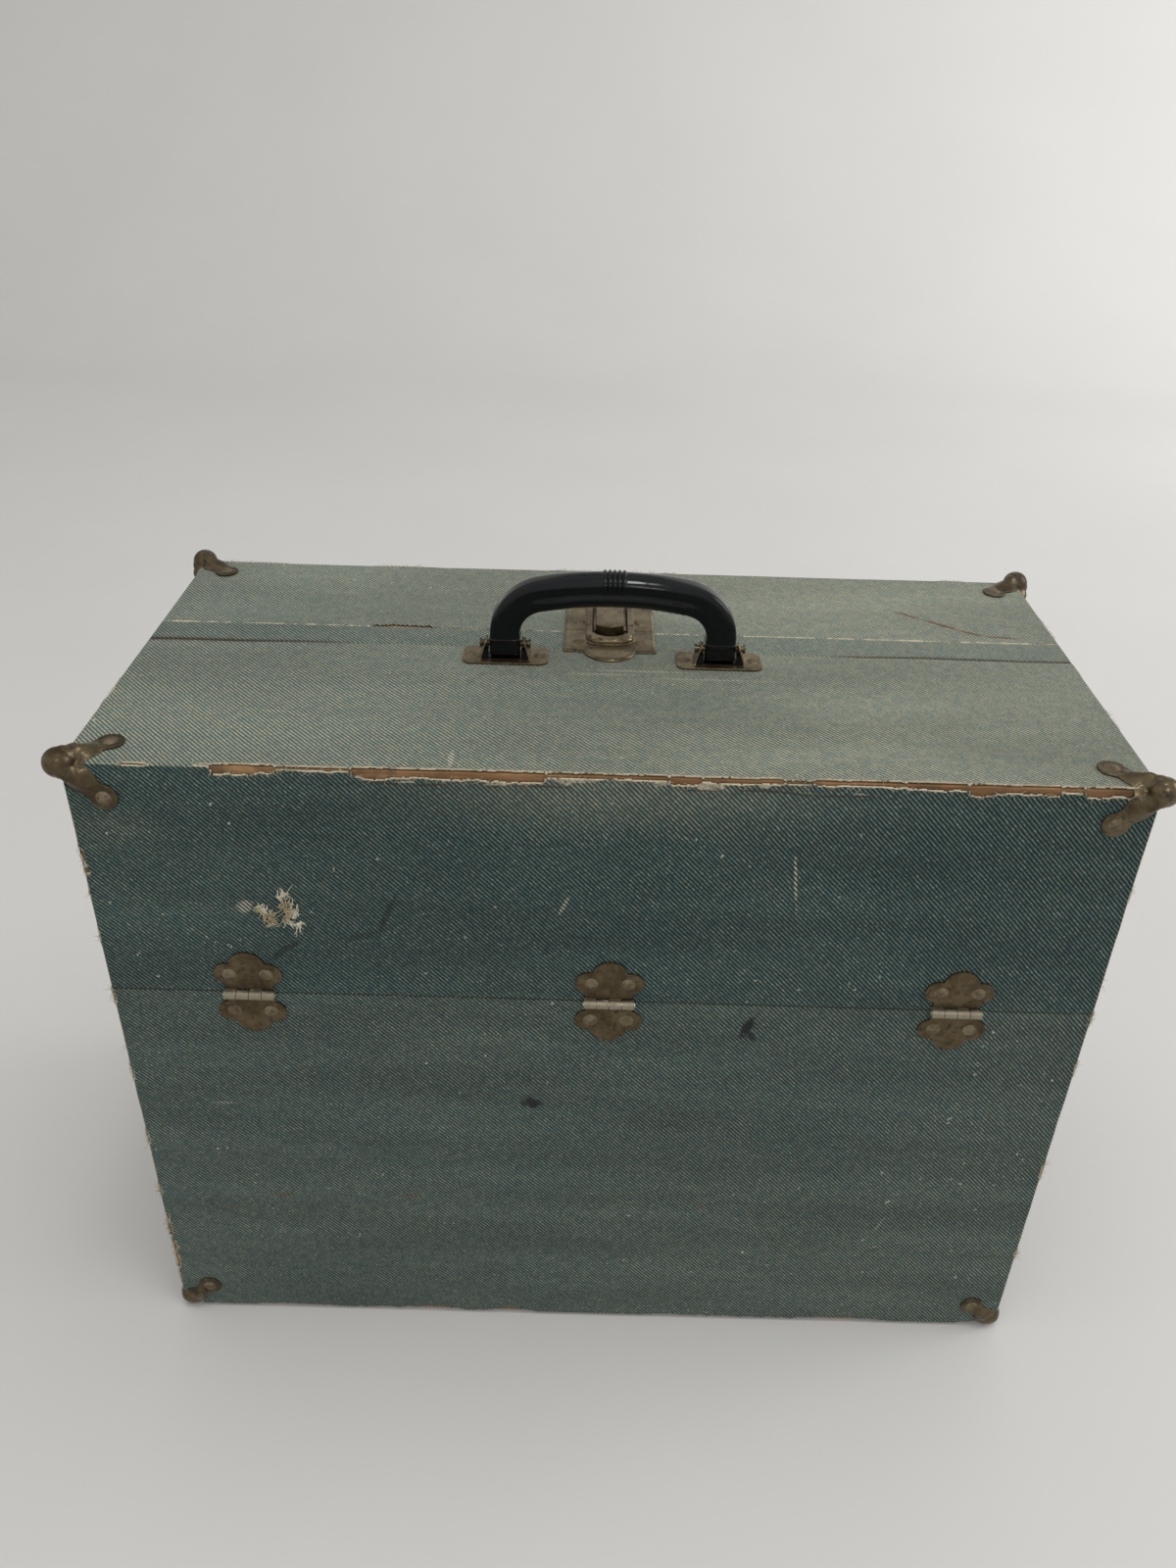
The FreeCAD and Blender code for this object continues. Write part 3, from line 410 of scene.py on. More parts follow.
def cloth_material():
    """Worn twill: diagonal wales of teal, grey and black threads, faded on top, with painted light on the
    top's right side and painted shade along the crease and seams.
    """
    g = Graph("worn_twill")
    uv = g.node("ShaderNodeUVMap", uv_map="flat").outputs[0]
    u, v, _ = g.split(uv)
    sway = g.times(g.noise(22.0, 2.0), 0.7)
    jitter = g.times(g.noise(420.0, 2.0), 0.30)
    phase = g.plus(g.times(u, 1 / (WALE_ALONG * MM)), g.times(v, 1 / (WALE_UP * MM)))
    phase = g.plus(phase, g.plus(sway, jitter))
    wale = g.math("SINE", g.times(phase, 2 * math.pi))
    wale = g.band(wale, -0.80, 0.75)
    stitch_phase = g.plus(g.times(u, 1 / (STITCH_PITCH * MM)),
                          g.times(g.noise(600.0, 1.0), 1.3))
    stitch = g.math("SINE", g.times(stitch_phase, 2 * math.pi))
    stitch = g.band(stitch, -1.0, 1.0)
    slub = g.noise(1100.0, 1.0, stretch=(1.0, 1.0, 0.55))
    thread = g.times(wale, g.plus(g.times(stitch, 0.26), 0.74))
    thread = g.times(thread, g.band(slub, 0.28, 0.72, 0.55, 1.22))

    # How faded the cloth is; on the top's right side this also holds painted light.
    fade_and_light = g.attribute("fade_and_light")
    broad = g.noise(9.0, 3.0)
    fade_and_light = g.plus(fade_and_light, g.times(g.minus(broad, 0.5), 0.30))
    fade_and_light = g.math("MAXIMUM", fade_and_light, 0.0, clamp=True)
    streak = g.noise(38.0, 3.0, stretch=(0.14, 0.5, 1.0))
    hue = g.noise(190.0, 2.0)

    dark = g.mix(fade_and_light, (0.0045, 0.010, 0.010), (0.092, 0.095, 0.070))
    light = g.mix(fade_and_light, (0.090, 0.158, 0.141), (0.440, 0.448, 0.338))
    bluish = g.mix(fade_and_light, (0.063, 0.136, 0.132), (0.318, 0.376, 0.318))
    light = g.mix(g.band(hue, 0.40, 0.62), light, bluish)
    light = g.mix(g.band(g.noise(900.0, 0.0), 0.66, 0.74), light,
                  g.mix(fade_and_light, (0.20, 0.25, 0.22), (0.46, 0.46, 0.36)))
    color = g.mix(thread, dark, light)
    shade = g.band(streak, 0.25, 0.75, 0.80, 1.16)
    color = scale_color(g, color, shade)

    wobble = g.times(g.minus(g.noise(260.0, 3.0), 0.5), 1.5)
    color = g.mix(mark_mask(g, DARK_MARKS, wobble), color, (0.006, 0.008, 0.009))
    color = g.mix(mark_mask(g, BROWN_MARKS, wobble), color, (0.115, 0.058, 0.026))
    flecks = g.times(mark_mask(g, PALE_MARKS, wobble), g.band(thread, 0.1, 0.5))
    color = g.mix(flecks, color, (0.50, 0.47, 0.36))
    specks = g.times(g.band(g.noise(330.0, 1.0), 0.755, 0.80), g.band(broad, 0.4, 0.6))
    color = g.mix(specks, color, (0.42, 0.41, 0.32))

    fray = g.attribute("fray")
    fluff = g.band(g.plus(fray, g.times(g.noise(800.0, 2.0), 0.7)), 0.75, 1.15)
    color = g.mix(fluff, color, (0.52, 0.46, 0.34))
    # Dark brown in the crease, the seams and the tear line: partly dirt, partly painted shade.
    grime_and_shade = g.attribute("grime_and_shade")
    color = g.mix(grime_and_shade, color, (0.036, 0.024, 0.014))

    height = g.plus(thread, g.times(g.noise(1500.0), 0.3))
    normal = g.bump(height, 0.85, 0.28)
    rough = g.band(broad, 0.3, 0.7, 0.82, 0.94)
    return g.finish(color, rough, normal, Sheen_Weight=0.12, Sheen_Roughness=0.5,
                    Specular_IOR_Level=0.25)


def scale_color(graph, color, factor):
    """A colour made lighter or darker."""
    made = graph.node("ShaderNodeVectorMath", operation="SCALE")
    graph.put(made.inputs[0], color)
    graph.put(made.inputs["Scale"], factor)
    return made.outputs[0]


def wood_material(name, pale, deep, stretch, ring_scale=55.0, polish=0.55):
    """Boards with long grain along one axis, pores and darker streaks."""
    g = Graph(name)
    grain = g.noise(ring_scale, 6.0, stretch=stretch, rough=0.62)
    fine = g.noise(ring_scale * 9, 4.0, stretch=stretch, rough=0.7)
    pores = g.band(g.noise(ring_scale * 22, 1.0, stretch=stretch), 0.60, 0.72)
    color = g.mix(g.band(grain, 0.32, 0.68), deep, pale)
    color = g.mix(g.times(g.band(fine, 0.35, 0.65), 0.35), color, deep)
    color = g.mix(g.times(pores, 0.45), color, tuple(0.35 * c for c in deep))
    height = g.plus(fine, g.times(pores, -0.8))
    normal = g.bump(height, 0.35, 0.15)
    return g.finish(color, g.band(fine, 0.2, 0.8, polish - 0.08, polish + 0.15), normal)


LINED_INSET = 7.9                     # the paper starts this deep inside the walls and the top
LINED_RISE = 5.9                      # and this high above the base's lower rim
DIAMOND = 0.006                       # half pitch of the paper's pattern, in metres


def board_material(name, stretch):
    """Case board: bare brown wood on its edges and outside, patterned paper on its inside."""
    g = Graph(name)
    grain = g.noise(60.0, 6.0, stretch=stretch, rough=0.62)
    fine = g.noise(520.0, 4.0, stretch=stretch, rough=0.7)
    color = g.mix(g.band(grain, 0.30, 0.70), (0.190, 0.092, 0.034), (0.41, 0.235, 0.110))
    color = g.mix(g.times(g.band(fine, 0.38, 0.62), 0.4), color, (0.11, 0.050, 0.018))
    blotch = g.band(g.noise(70.0, 3.0), 0.50, 0.66)
    color = g.mix(g.times(blotch, 0.55), color, (0.070, 0.036, 0.018))
    x, y, z = g.split(g.place)
    inside = g.math("GREATER_THAN", z, (FOOT + LINED_RISE) * MM)
    for distance, outer in ((g.math("ABSOLUTE", x), HALF_X), (g.math("ABSOLUTE", y), HALF_Y), (z, TOP)):
        inside = g.times(inside, g.math("LESS_THAN", distance, (outer - LINED_INSET) * MM))
    diamond = g.plus(g.math("PINGPONG", g.plus(x, y), DIAMOND),
                     g.math("PINGPONG", g.minus(z, y), DIAMOND))
    pattern = g.band(diamond, 0.77 * DIAMOND, 0.90 * DIAMOND)
    fibre = g.noise(700.0, 3.0)
    paper = g.mix(pattern, (0.50, 0.44, 0.31), (0.34, 0.38, 0.31))
    paper = g.mix(g.band(fibre, 0.3, 0.7, 0.0, 0.25), paper, (0.62, 0.56, 0.42))
    color = g.mix(inside, color, paper)
    normal = g.bump(g.plus(fine, fibre), 0.35, 0.12)
    return g.finish(color, g.band(fine, 0.2, 0.8, 0.62, 0.85), normal)


WORN_AND_HIGHLIT_REACH = 2.2                    # half height of the lighter band: worn metal and painted highlight


def metal_material(name, bright, dull, tarnish, roughness, wear, scale=90.0, worn_and_highlit_band=None):
    """Tarnished plated steel: cloudy colour and dark spots, with a lighter band round a given height that
    is partly worn metal and partly a painted highlight.
    """
    g = Graph(name)
    cloud = g.noise(scale, 5.0, rough=0.65)
    grit = g.noise(scale * 12, 3.0, rough=0.6)
    color = g.mix(g.band(cloud, 0.32, 0.68), dull, bright)
    spots = g.band(g.plus(g.noise(scale * 3.2, 4.0), g.times(grit, 0.25)),
                   0.62 + 0.1 * wear, 0.80 + 0.1 * wear)
    color = g.mix(spots, color, tarnish)
    color = g.mix(g.times(g.band(grit, 0.55, 0.75), 0.25), color, tarnish)
    # A lighter band round the given height: partly worn metal, partly a painted highlight.
    if worn_and_highlit_band is not None:
        height = g.math("ABSOLUTE", g.minus(g.split(g.place)[2], worn_and_highlit_band[0] * MM))
        near = g.times(g.band(height, WORN_AND_HIGHLIT_REACH * MM, 1.18 * WORN_AND_HIGHLIT_REACH * MM, 1.0, 0.0),
                      g.band(grit, 0.25, 0.45))
        color = g.mix(near, color, worn_and_highlit_band[1])
    rough = g.plus(g.band(cloud, 0.3, 0.7, roughness + 0.14, roughness - 0.06),
                   g.times(spots, 0.25))
    metallic = g.band(spots, 0.0, 1.0, 0.92, 0.35)
    normal = g.bump(g.plus(grit, g.times(cloud, 1.5)), 0.22, 0.12)
    g.put(g.shader.inputs["Metallic"], metallic)
    return g.finish(color, rough, normal)


def plastic_material():
    """Glossy black moulded plastic with faint scuffs and dust."""
    g = Graph("black_moulding")
    scuff = g.noise(900.0, 3.0, stretch=(0.12, 1.0, 1.0))
    cloud = g.noise(60.0, 3.0)
    dust = g.times(g.band(g.noise(1400.0, 1.0), 0.70, 0.78), g.band(cloud, 0.4, 0.7))
    color = g.mix(g.times(dust, 0.30), (0.0045, 0.0052, 0.0062), (0.09, 0.09, 0.09))
    rough = g.plus(g.band(scuff, 0.35, 0.75, 0.08, 0.14), g.times(dust, 0.3))
    normal = g.bump(g.plus(cloud, g.times(scuff, 0.08)), 0.05, 0.4)
    return g.finish(color, rough, normal, Specular_IOR_Level=0.24)


def fibre_material(name, pale, brown):
    """Matt threads, cream with brown stretches."""
    g = Graph(name)
    color = g.mix(g.band(g.noise(140.0, 2.0), 0.35, 0.65), brown, pale)
    fine = g.noise(2500.0, 1.0)
    return g.finish(color, g.band(fine, 0.2, 0.8, 0.75, 0.95), g.bump(fine, 0.2, 0.05))


def floor_material():
    """Pale matt floor with faint clouds and a little grit."""
    g = Graph("pale_floor")
    cloud = g.noise(3.0, 4.0)
    color = g.mix(g.band(cloud, 0.25, 0.75), (0.605, 0.594, 0.580), (0.622, 0.612, 0.598))
    grit = g.band(g.noise(160.0, 2.0), 0.775, 0.81)
    color = g.mix(g.times(grit, 0.35), color, (0.25, 0.25, 0.24))
    return g.finish(color, g.band(cloud, 0.3, 0.7, 0.72, 0.80), g.bump(g.noise(40.0, 3.0), 0.04, 0.6))


# ---- cloth covers ------------------------------------
# Bare wood along the near top edge: (x from, x to, depth down the wall, depth back on the top).
NEAR_EDGE_TEARS = (
    (-172, -163, 0.0, 1.4), (-203, -192, 0.8, 1.0), (-166, -139, 3.6, 2.2), (-139, -108, 1.2, 1.6),
    (-108, -27, 3.8, 2.2), (-27, 24, 1.7, 2.4), (24, 38, 3.9, 2.4), (38, 72, 1.9, 2.3),
    (72, 84, 1.4, 1.2), (84, 122, 1.5, 2.4), (122, 148, 2.4, 2.4), (148, 187, 4.2, 2.3),
    (187, 196, 2.4, 2.2), (196, 222, 4.0, 2.2),
)
NEAR_EDGE_END = 224                   # the tears stop here, beside the corner caps
# Bare patches on the near vertical edges: (side of x, z from, z to, depth).
UPRIGHT_TEARS = (
    (-1, 300, 316, 2.4), (-1, 288, 293, 1.0), (-1, 262, 270, 1.1), (-1, 226, 235, 1.4),
    (-1, 176, 186, 1.2), (-1, 131, 141, 1.6), (-1, 92, 101, 1.6), (-1, 60, 78, 2.0),
    (-1, 33, 57, 2.7), (-1, 22, 30, 1.3), (1, 122, 134, 1.6), (1, 228, 236, 1.2),
    (1, 196, 204, 1.0), (1, 60, 66, 1.2), (1, 300, 308, 1.0),
)
TORN = 0.05                           # the cloth is whole where a tear is shallower than this
MOST_SWELL = 0.45                     # the cloth lifts no further than this off its board
FRINGE_FIBRES = 900                   # the most fibres on one cover's torn edges


def tear_profile(x, column):
    """Depth of the near edge's bare strip at x, from the table of tears, with ragged ends."""
    depth = np.zeros_like(x)
    for row in NEAR_EDGE_TEARS:
        depth = np.maximum(depth, between(row[0], row[1], x) * row[column])
    return depth


def lines(low, high, fine_low, fine_high, fine, coarse):
    """Grid lines that are fine near the two ends and coarse between them."""
    middle_low, middle_high = low + fine_low, high - fine_high
    parts = []
    if fine_low:
        parts.append(np.arange(low, middle_low - 0.01, fine))
    count = max(2, int(round((middle_high - middle_low) / coarse)) + 1)
    parts.append(np.linspace(middle_low, middle_high, count))
    if fine_high:
        parts.append(np.arange(middle_high + fine, high + 0.01, fine))
    values = np.concatenate(parts)
    values[-1] = high
    return values


def face_grid(axis, value, first, second, flip):
    """Points and quads of one flat face; axis is its normal's axis."""
    a, b = np.meshgrid(first, second, indexing="ij")
    others = [i for i in range(3) if i != axis]
    points = np.empty((a.size, 3))
    points[:, axis] = value
    points[:, others[0]] = a.ravel()
    points[:, others[1]] = b.ravel()
    n, m = len(first), len(second)
    i, j = np.meshgrid(np.arange(n - 1), np.arange(m - 1), indexing="ij")
    corner = (i * m + j).ravel()
    quads = np.stack([corner, corner + m, corner + m + 1, corner + 1], axis=1)
    return points, quads[:, ::-1] if flip else quads


def weld(parts):
    """Joins face grids, sharing the points on their common borders."""
    points = np.concatenate([p for p, _ in parts])
    quads, start = [], 0
    for p, q in parts:
        quads.append(q + start)
        start += len(p)
    quads = np.concatenate(quads)
    keys = np.round(points, 3)
    _, first, back = np.unique(keys, axis=0, return_index=True, return_inverse=True)
    return points[first], back.ravel()[quads]


def edge_distances(points, low, high, open_sides):
    """For each point, its distance to the nearest sharp edge of the cover's box."""
    gaps = []
    for axis in range(3):
        for end, limit in ((0, low[axis]), (1, high[axis])):
            if (axis, end) not in open_sides:
                gaps.append(np.abs(points[:, axis] - limit))
    return np.sort(np.stack(gaps, axis=1), axis=1)[:, 1]


def near_upright(points):
    """Whether points lie beside one of the near face's upright edges."""
    return (points[:, 1] < NEAR_FACE + 6) & (np.abs(points[:, 0]) > HALF_X - 6)


def tear_depth(points, cover):
    """How far from the nearest edge the cloth is torn away at each point."""
    x, y, z = points.T
    general = np.clip(noise3(points, 24.0) * 5.2 - 3.15, 0, 1.9) * (0.5 + noise3(points, 5.0))
    special = np.zeros_like(general)
    for side, z_low, z_high, most in UPRIGHT_TEARS:
        special = np.maximum(special, between(z_low, z_high, z) * most * (np.sign(x) == side))
    special = special * (0.6 + 0.8 * noise3(points, 3.0))
    special = np.where(on_near_wall(points), special, 0.5 * special)
    depth = np.where(near_upright(points), special, general)
    if cover == "near_lid":
        near_edge = (y < NEAR_FACE + 8) & (z > TOP - 8) & (np.abs(x) < NEAR_EDGE_END)
        steps = np.floor(noise_along_x(points, 9.0) * 5) / 5
        wall_ragged = 0.70 + 0.45 * steps + 0.25 * noise_along_x(points, 2.0)
        top_ragged = 0.86 + 0.16 * noise_along_x(points, 14.0) + 0.14 * noise_along_x(points, 1.7)
        special = np.where(on_top(points), tear_profile(x, 3) * top_ragged,
                           tear_profile(x, 2) * wall_ragged)
        depth = np.where(near_edge, special, depth)
    return depth


def rounded(points, low, high, radius, open_sides):
    """Rounds the sharp edges of a box surface, except where a side is open."""
    inner_low, inner_high = low + radius, high - radius
    for axis, end in open_sides:
        if end == 0:
            inner_low[axis] = low[axis] - 100
        else:
            inner_high[axis] = high[axis] + 100
    clamped = np.clip(points, inner_low, inner_high)
    out = points - clamped
    length = np.linalg.norm(out, axis=1, keepdims=True)
    return clamped + out / np.maximum(length, 1e-9) * radius, out / np.maximum(length, 1e-9)


def fray_values(points, gap, depth, rims):
    """How frayed the cloth is beside its tears, its sharp edges and its free rims."""
    strength = 0.50 + 0.75 * noise3(points, 4.5)
    fray = np.where(depth > TORN, strength * (1 - smooth(0.0, 0.8, gap - depth)), 0.0)
    edge_wear = np.where(near_upright(points), 0.95, 0.62) * (0.5 + 0.8 * noise3(points, 11.0))
    fray = np.maximum(fray, edge_wear * (1 - smooth(0.0, 1.5, gap)))
    top = on_top(points)
    uneven = 0.30 + 0.45 * noise_along_x(points, 2.6) + 0.40 * noise_along_x(points, 16.0)
    rim_fray = np.where(top, uneven, 0.50 * noise3(points, 14.0))
    reach = np.where(top, 0.5 + 1.3 * noise_along_x(points, 4.0), 1.1)
    return np.maximum(fray, rim_fray * (1 - smooth(0.0, 1.0, rims / reach)))


def cover_mesh(cover, low, high, grid, faces, open_sides):
    """One glued cloth cover: a rounded box surface with torn edges, as a thin closed shell."""
    low, high = np.array(low, float), np.array(high, float)
    parts = []
    for axis, end in faces:
        first, second = [grid[other] for other in range(3) if other != axis]
        value = high[axis] if end else low[axis]
        parts.append(face_grid(axis, value, first, second, (end == 0) != (axis == 1)))
    points, quads = weld(parts)
    centres = points[quads].mean(axis=1)
    centre_gap = edge_distances(centres, low, high, open_sides)
    holes = {"base": ragged_foot, "near_lid": notch_hole, "far_lid": seam_patch}[cover]
    torn = (centre_gap < tear_depth(centres, cover)) | under_cap(centres) | holes(centres)
    gap = edge_distances(points, low, high, open_sides)
    depth = tear_depth(points, cover)
    fray = fray_values(points, gap, depth, open_rims(points, low, high, open_sides))
    placed, normals = rounded(points, low, high, EDGE_RADIUS, open_sides)
    swell = (noise3(points, 60.0) - 0.5) * 0.25 + (noise3(points, 9.0) - 0.5) * 0.10
    swell = np.where(depth > TORN, swell + 0.25 * (1 - smooth(0, 2.5, gap - depth)), swell)
    if cover == "near_lid":
        fray = np.maximum(fray, remnants(points, depth))
        swell -= crease(points)
    placed = placed + normals * np.minimum(swell, MOST_SWELL)[:, None]
    used, kept = np.unique(quads[~torn], return_inverse=True)
    kept = kept.reshape(-1, 4)
    obj = new_object(cover + "_cloth_cover", placed[used], [tuple(int(i) for i in q) for q in kept])
    face_map(obj, points[used], kept)
    point_values(obj, "fray", fray[used])
    point_values(obj, "fade_and_light", fade_and_light_values(points[used]))
    point_values(obj, "grime_and_shade", grime_and_shade_values(points[used]))
    add_modifier(obj, "SOLIDIFY", thickness=CLOTH * MM, offset=-1.0)
    return obj, (points, gap, depth, normals, placed)


CAP_REACH = 11.0                      # the cloth stops this far from a corner, under its cap


def under_cap(centres):
    """The corners of the case, where a cap's shell takes the place of the cloth."""
    x, y, z = centres.T
    height = np.minimum(np.abs(z - FOOT), np.abs(TOP - z))
    reach = np.maximum(np.maximum(HALF_X - np.abs(x), HALF_Y - np.abs(y)), height)
    return reach < CAP_REACH


def ragged_foot(centres):
    """The cover's worn lower rim."""
    around = centres * [1, 1, 0]
    return centres[:, 2] - FOOT < 3.4 * noise3(around, 22.0) + 1.2 * noise3(around, 3.0) - 1.3


def notch_hole(centres):
    """Opening for the latch's nose."""
    low, high = box_mm("catch_spring")
    middle, half = middle_and_half(low, high)
    margin = 0.1
    return (np.abs(centres[:, 0] - middle) < half + margin) & (centres[:, 1] > low[1] - margin)


def seam_patch(centres):
    """Bare board on the far lid, beside the seam."""
    depth = 2.1 * between(-121, -91, centres[:, 0]) * (0.65 + 0.7 * noise_along_x(centres, 3.0))
    return on_top(centres) & (centres[:, 1] - FAR_LOW[1] < depth)


def remnants(points, depth):
    """Rubbed, pale cloth left between the bare near edge and the tear line below it."""
    below = TOP - points[:, 2]
    wall = on_near_wall(points) & (below < TEAR_LINE) & (below > depth)
    patches = smooth(0.46, 0.66, noise3(points * [0.5, 1, 1], 3.2))
    return np.where(wall, 0.62 * patches * between(*TEAR_LINE_ENDS, points[:, 0], 4.0), 0.0)


def open_rims(points, low, high, open_sides):
    """Distance of each point to the nearest free rim of the cover."""
    gaps = [np.full(len(points), 99.0)]
    for axis, end in open_sides:
        gaps.append(np.abs(points[:, axis] - (high[axis] if end else low[axis])))
    return np.min(gaps, axis=0)


CREASE_Y = SEAM_Y - 20.3
TEAR_LINE = 6.0                       # the wall's cloth is split this far below the near edge
TEAR_LINE_ENDS = (-104, 112)


def crease_line(points, width):
    """1 along the crease over the joint of the lid's top board and edge rail, 0 beside it."""
    wander = (noise_along_x(points, 30.0) - 0.5) * 1.2
    return np.exp(-((points[:, 1] - CREASE_Y - wander) / width) ** 2) * on_top(points)


def crease(points):
    """Depth of the crease in the near lid's top, deeper at its open ends."""
    x = points[:, 0]
    open_ends = smooth(-130, -205, x) + smooth(95, 200, x)
    return crease_line(points, 0.75) * (0.28 + 0.55 * np.clip(open_ends, 0, 1))


def fade_and_light_values(points):
    """0 is the dark teal of the walls, 1 the bleached grey-green of the top; the top also grows lighter
    towards the right, painted light from the window's side.
    """
    x, y, z = points.T
    top = smooth(TOP - 1.0, TOP - 0.2, z)
    # The rise along x is painted light: the top is lighter on the right, where the window light falls.
    tops = 0.58 + 0.27 * smooth(-200, 190, x) + 0.09 * smooth(40, 100, y)
    blue_zone = np.exp(-(((x - 8) / 60) ** 2 + ((y + 38) / 14) ** 2))
    tops = tops - 0.20 * blue_zone - 0.24 * between(CREASE_Y + 1, SEAM_Y - 1, y, 2.0)
    low_wall = 0.12 * smooth(HINGE_Z + 1, HINGE_Z - 1, z)
    walls = 0.045 + low_wall + 0.06 * smooth(200, 20, z)
    haze = 0.42 * np.exp(-(((x + 5) / 75) ** 2)) * smooth(322, 352, z) * (y < NEAR_FACE + 1)
    left_patch = 0.18 * np.exp(-(((x + 212) / 16) ** 2 + ((z - 326) / 9) ** 2))
    return np.clip(np.where(top > 0.5, tops, walls + haze + left_patch), 0, 1)


def grime_and_shade_values(points):
    """Darkening on the cloth: dirt and painted shade in the crease's open ends, painted shadow in the gap
    along the lids' seam, and dark lines along the hinge line and in the tear line.
    """
    x, y, z = points.T
    # Dirt and painted shade in the crease, strongest at its open ends.
    line = crease_line(points, 1.0 + 0.9 * smooth(-140, -190, x))
    ends = np.clip(smooth(-118, -150, x) + smooth(102, 125, x), 0, 1)
    # Darker along the hinge line.
    seam = 0.25 * np.exp(-((z - HINGE_Z) / 0.9) ** 2)
    # Painted shadow in the gap along the lids' seam.
    gap = 0.85 * np.exp(-((y - SEAM_Y) / 0.8) ** 2) * on_top(points) * between(-121, -40, x)
    sag = (noise_along_x(points, 17.0) - 0.5) * 1.8
    split = np.exp(-((TOP - z - TEAR_LINE - sag) / 0.42) ** 2) * between(*TEAR_LINE_ENDS, x)
    split = split * on_near_wall(points) * smooth(0.30, 0.48, noise_along_x(points, 7.0))
    return np.clip(line * (0.15 + 0.85 * ends) + seam + gap + 0.9 * split, 0, 1)


def point_values(obj, name, values):
    """Stores one number for each vertex of a mesh."""
    attribute = obj.data.attributes.new(name, "FLOAT", "POINT")
    attribute.data.foreach_set("value", np.asarray(values, np.float32))


def face_map(obj, points, quads):
    """UV map in metres on the flat cloth: u along the box's long way round, v up or back."""
    layer = obj.data.uv_layers.new(name="flat")
    corners = points[quads]
    spread = corners.max(axis=1) - corners.min(axis=1)
    normal_axis = spread.argmin(axis=1)
    u = np.where((normal_axis == 0)[:, None], corners[:, :, 1], corners[:, :, 0])
    v = np.where((normal_axis == 2)[:, None], corners[:, :, 1], corners[:, :, 2])
    flat = np.stack([u, v], axis=2).reshape(-1, 2) * MM
    layer.data.foreach_set("uv", flat.astype(np.float32).ravel())


def base_cover():
    """The strip of cloth round the base's four walls."""
    xs = lines(-HALF_X, HALF_X, 6, 6, 0.75, 1.5)
    ys = lines(-HALF_Y, HALF_Y, 4, 4, 0.5, 4.0)
    zs = lines(BASE_LOW[2], BASE_HIGH[2], 5, 2, 0.5, 1.5)
    return cover_mesh("base", BASE_LOW, BASE_HIGH, (xs, ys, zs),
                      ((0, 0), (0, 1), (1, 0), (1, 1)), {(2, 0), (2, 1)})


def near_cover():
    """The cloth over the near lid's wall, top and cheeks."""
    xs = lines(-HALF_X, HALF_X, 6, 6, 0.75, 1.0)
    ys = np.concatenate([lines(-HALF_Y, CREASE_Y - 3, 7, 0, 0.5, 3.0),
                         np.arange(CREASE_Y - 2.5, CREASE_Y + 2.6, 0.5),
                         lines(CREASE_Y + 3, NEAR_HIGH[1], 0, 3, 0.5, 2.5)])
    zs = lines(NEAR_LOW[2], TOP, 2, 8, 0.5, 3.0)
    return cover_mesh("near_lid", NEAR_LOW, NEAR_HIGH, (xs, ys, zs),
                      ((0, 0), (0, 1), (1, 0), (2, 1)), {(2, 0), (1, 1)})


def far_cover():
    """The cloth over the far lid's wall, top and cheeks."""
    xs = lines(-HALF_X, HALF_X, 6, 6, 0.75, 1.5)
    ys = lines(FAR_LOW[1], HALF_Y, 3, 4, 0.5, 3.0)
    zs = lines(FAR_LOW[2], TOP, 2, 4, 0.5, 3.0)
    return cover_mesh("far_lid", FAR_LOW, FAR_HIGH, (xs, ys, zs),
                      ((0, 0), (0, 1), (1, 1), (2, 1)), {(2, 0), (1, 0)})


def fibre_fringe(name, data, body, material):
    """Short cream fibres along torn cloth edges."""
    points, gap, depth, normals, placed = data
    rim = np.flatnonzero((depth > 0.15) & (np.abs(gap - depth) < 0.6))
    rng = np.random.default_rng(len(points))
    strands = Strands()
    for index in rng.choice(rim, min(FRINGE_FIBRES, len(rim)), replace=False):
        start = placed[index] + normals[index] * 0.1
        lean = rng.normal(0, 1, 3)
        lean -= normals[index] * (lean @ normals[index])
        lean = lean / np.linalg.norm(lean) + normals[index] * rng.uniform(0.05, 0.5)
        length = rng.uniform(0.7, 2.4)
        curl = rng.normal(0, 0.25, 3)
        strands.add(curled(start, lean, length, curl, (0, 0.35, 0.7, 1.0)), 0.09)
    dress(strands.build(name), material, body)


# ---- camera, light and floor -------------------------
CAMERA_PLACE = (-0.0099, -0.5439, 0.6244)                     # metres
CAMERA_PITCH, CAMERA_YAW, CAMERA_ROLL = 31.95, 0.05, -1.58    # degrees
CAMERA_LENS, CAMERA_SENSOR = 28.33, 36.0
WARM, COOL, WHITE = (1.0, 0.985, 0.96), (0.96, 0.98, 1.0), (1.0, 1.0, 1.0)
# Name, place, target and size in metres, power in watts, colour, mirrored by shiny surfaces.
LAMPS = (
    ("overhead", (0.30, -0.15, 2.5), (0, 0, 0.3), 2.4, 17, WARM, False),
    ("crest_lamp", (0.15, -0.35, 2.3), (0, 0, 0.3), 0.26, 3.2, WARM, True),
    ("window", (2.2, 0.3, 1.3), (0, 0, 0.25), 1.2, 14, COOL, True),
    ("front_lamp", (0.30, -1.60, 1.95), (0, 0, 0.3), 0.30, 5.0, WARM, True),
    ("backdrop", (2.0, 1.3, 1.7), (2.1, 2.9, 0.6), 1.2, 26, WHITE, True),
)
WORLD_COLOR, WORLD_STRENGTH = (0.93, 0.93, 0.92, 1), 0.72
SWEEP_NEAR, SWEEP_FAR, SWEEP_SIDE = -9000, 1900, 9000         # the flat floor's edges
SWEEP_RADIUS, SWEEP_TOP = 1200, 5200                          # the curve up to the wall


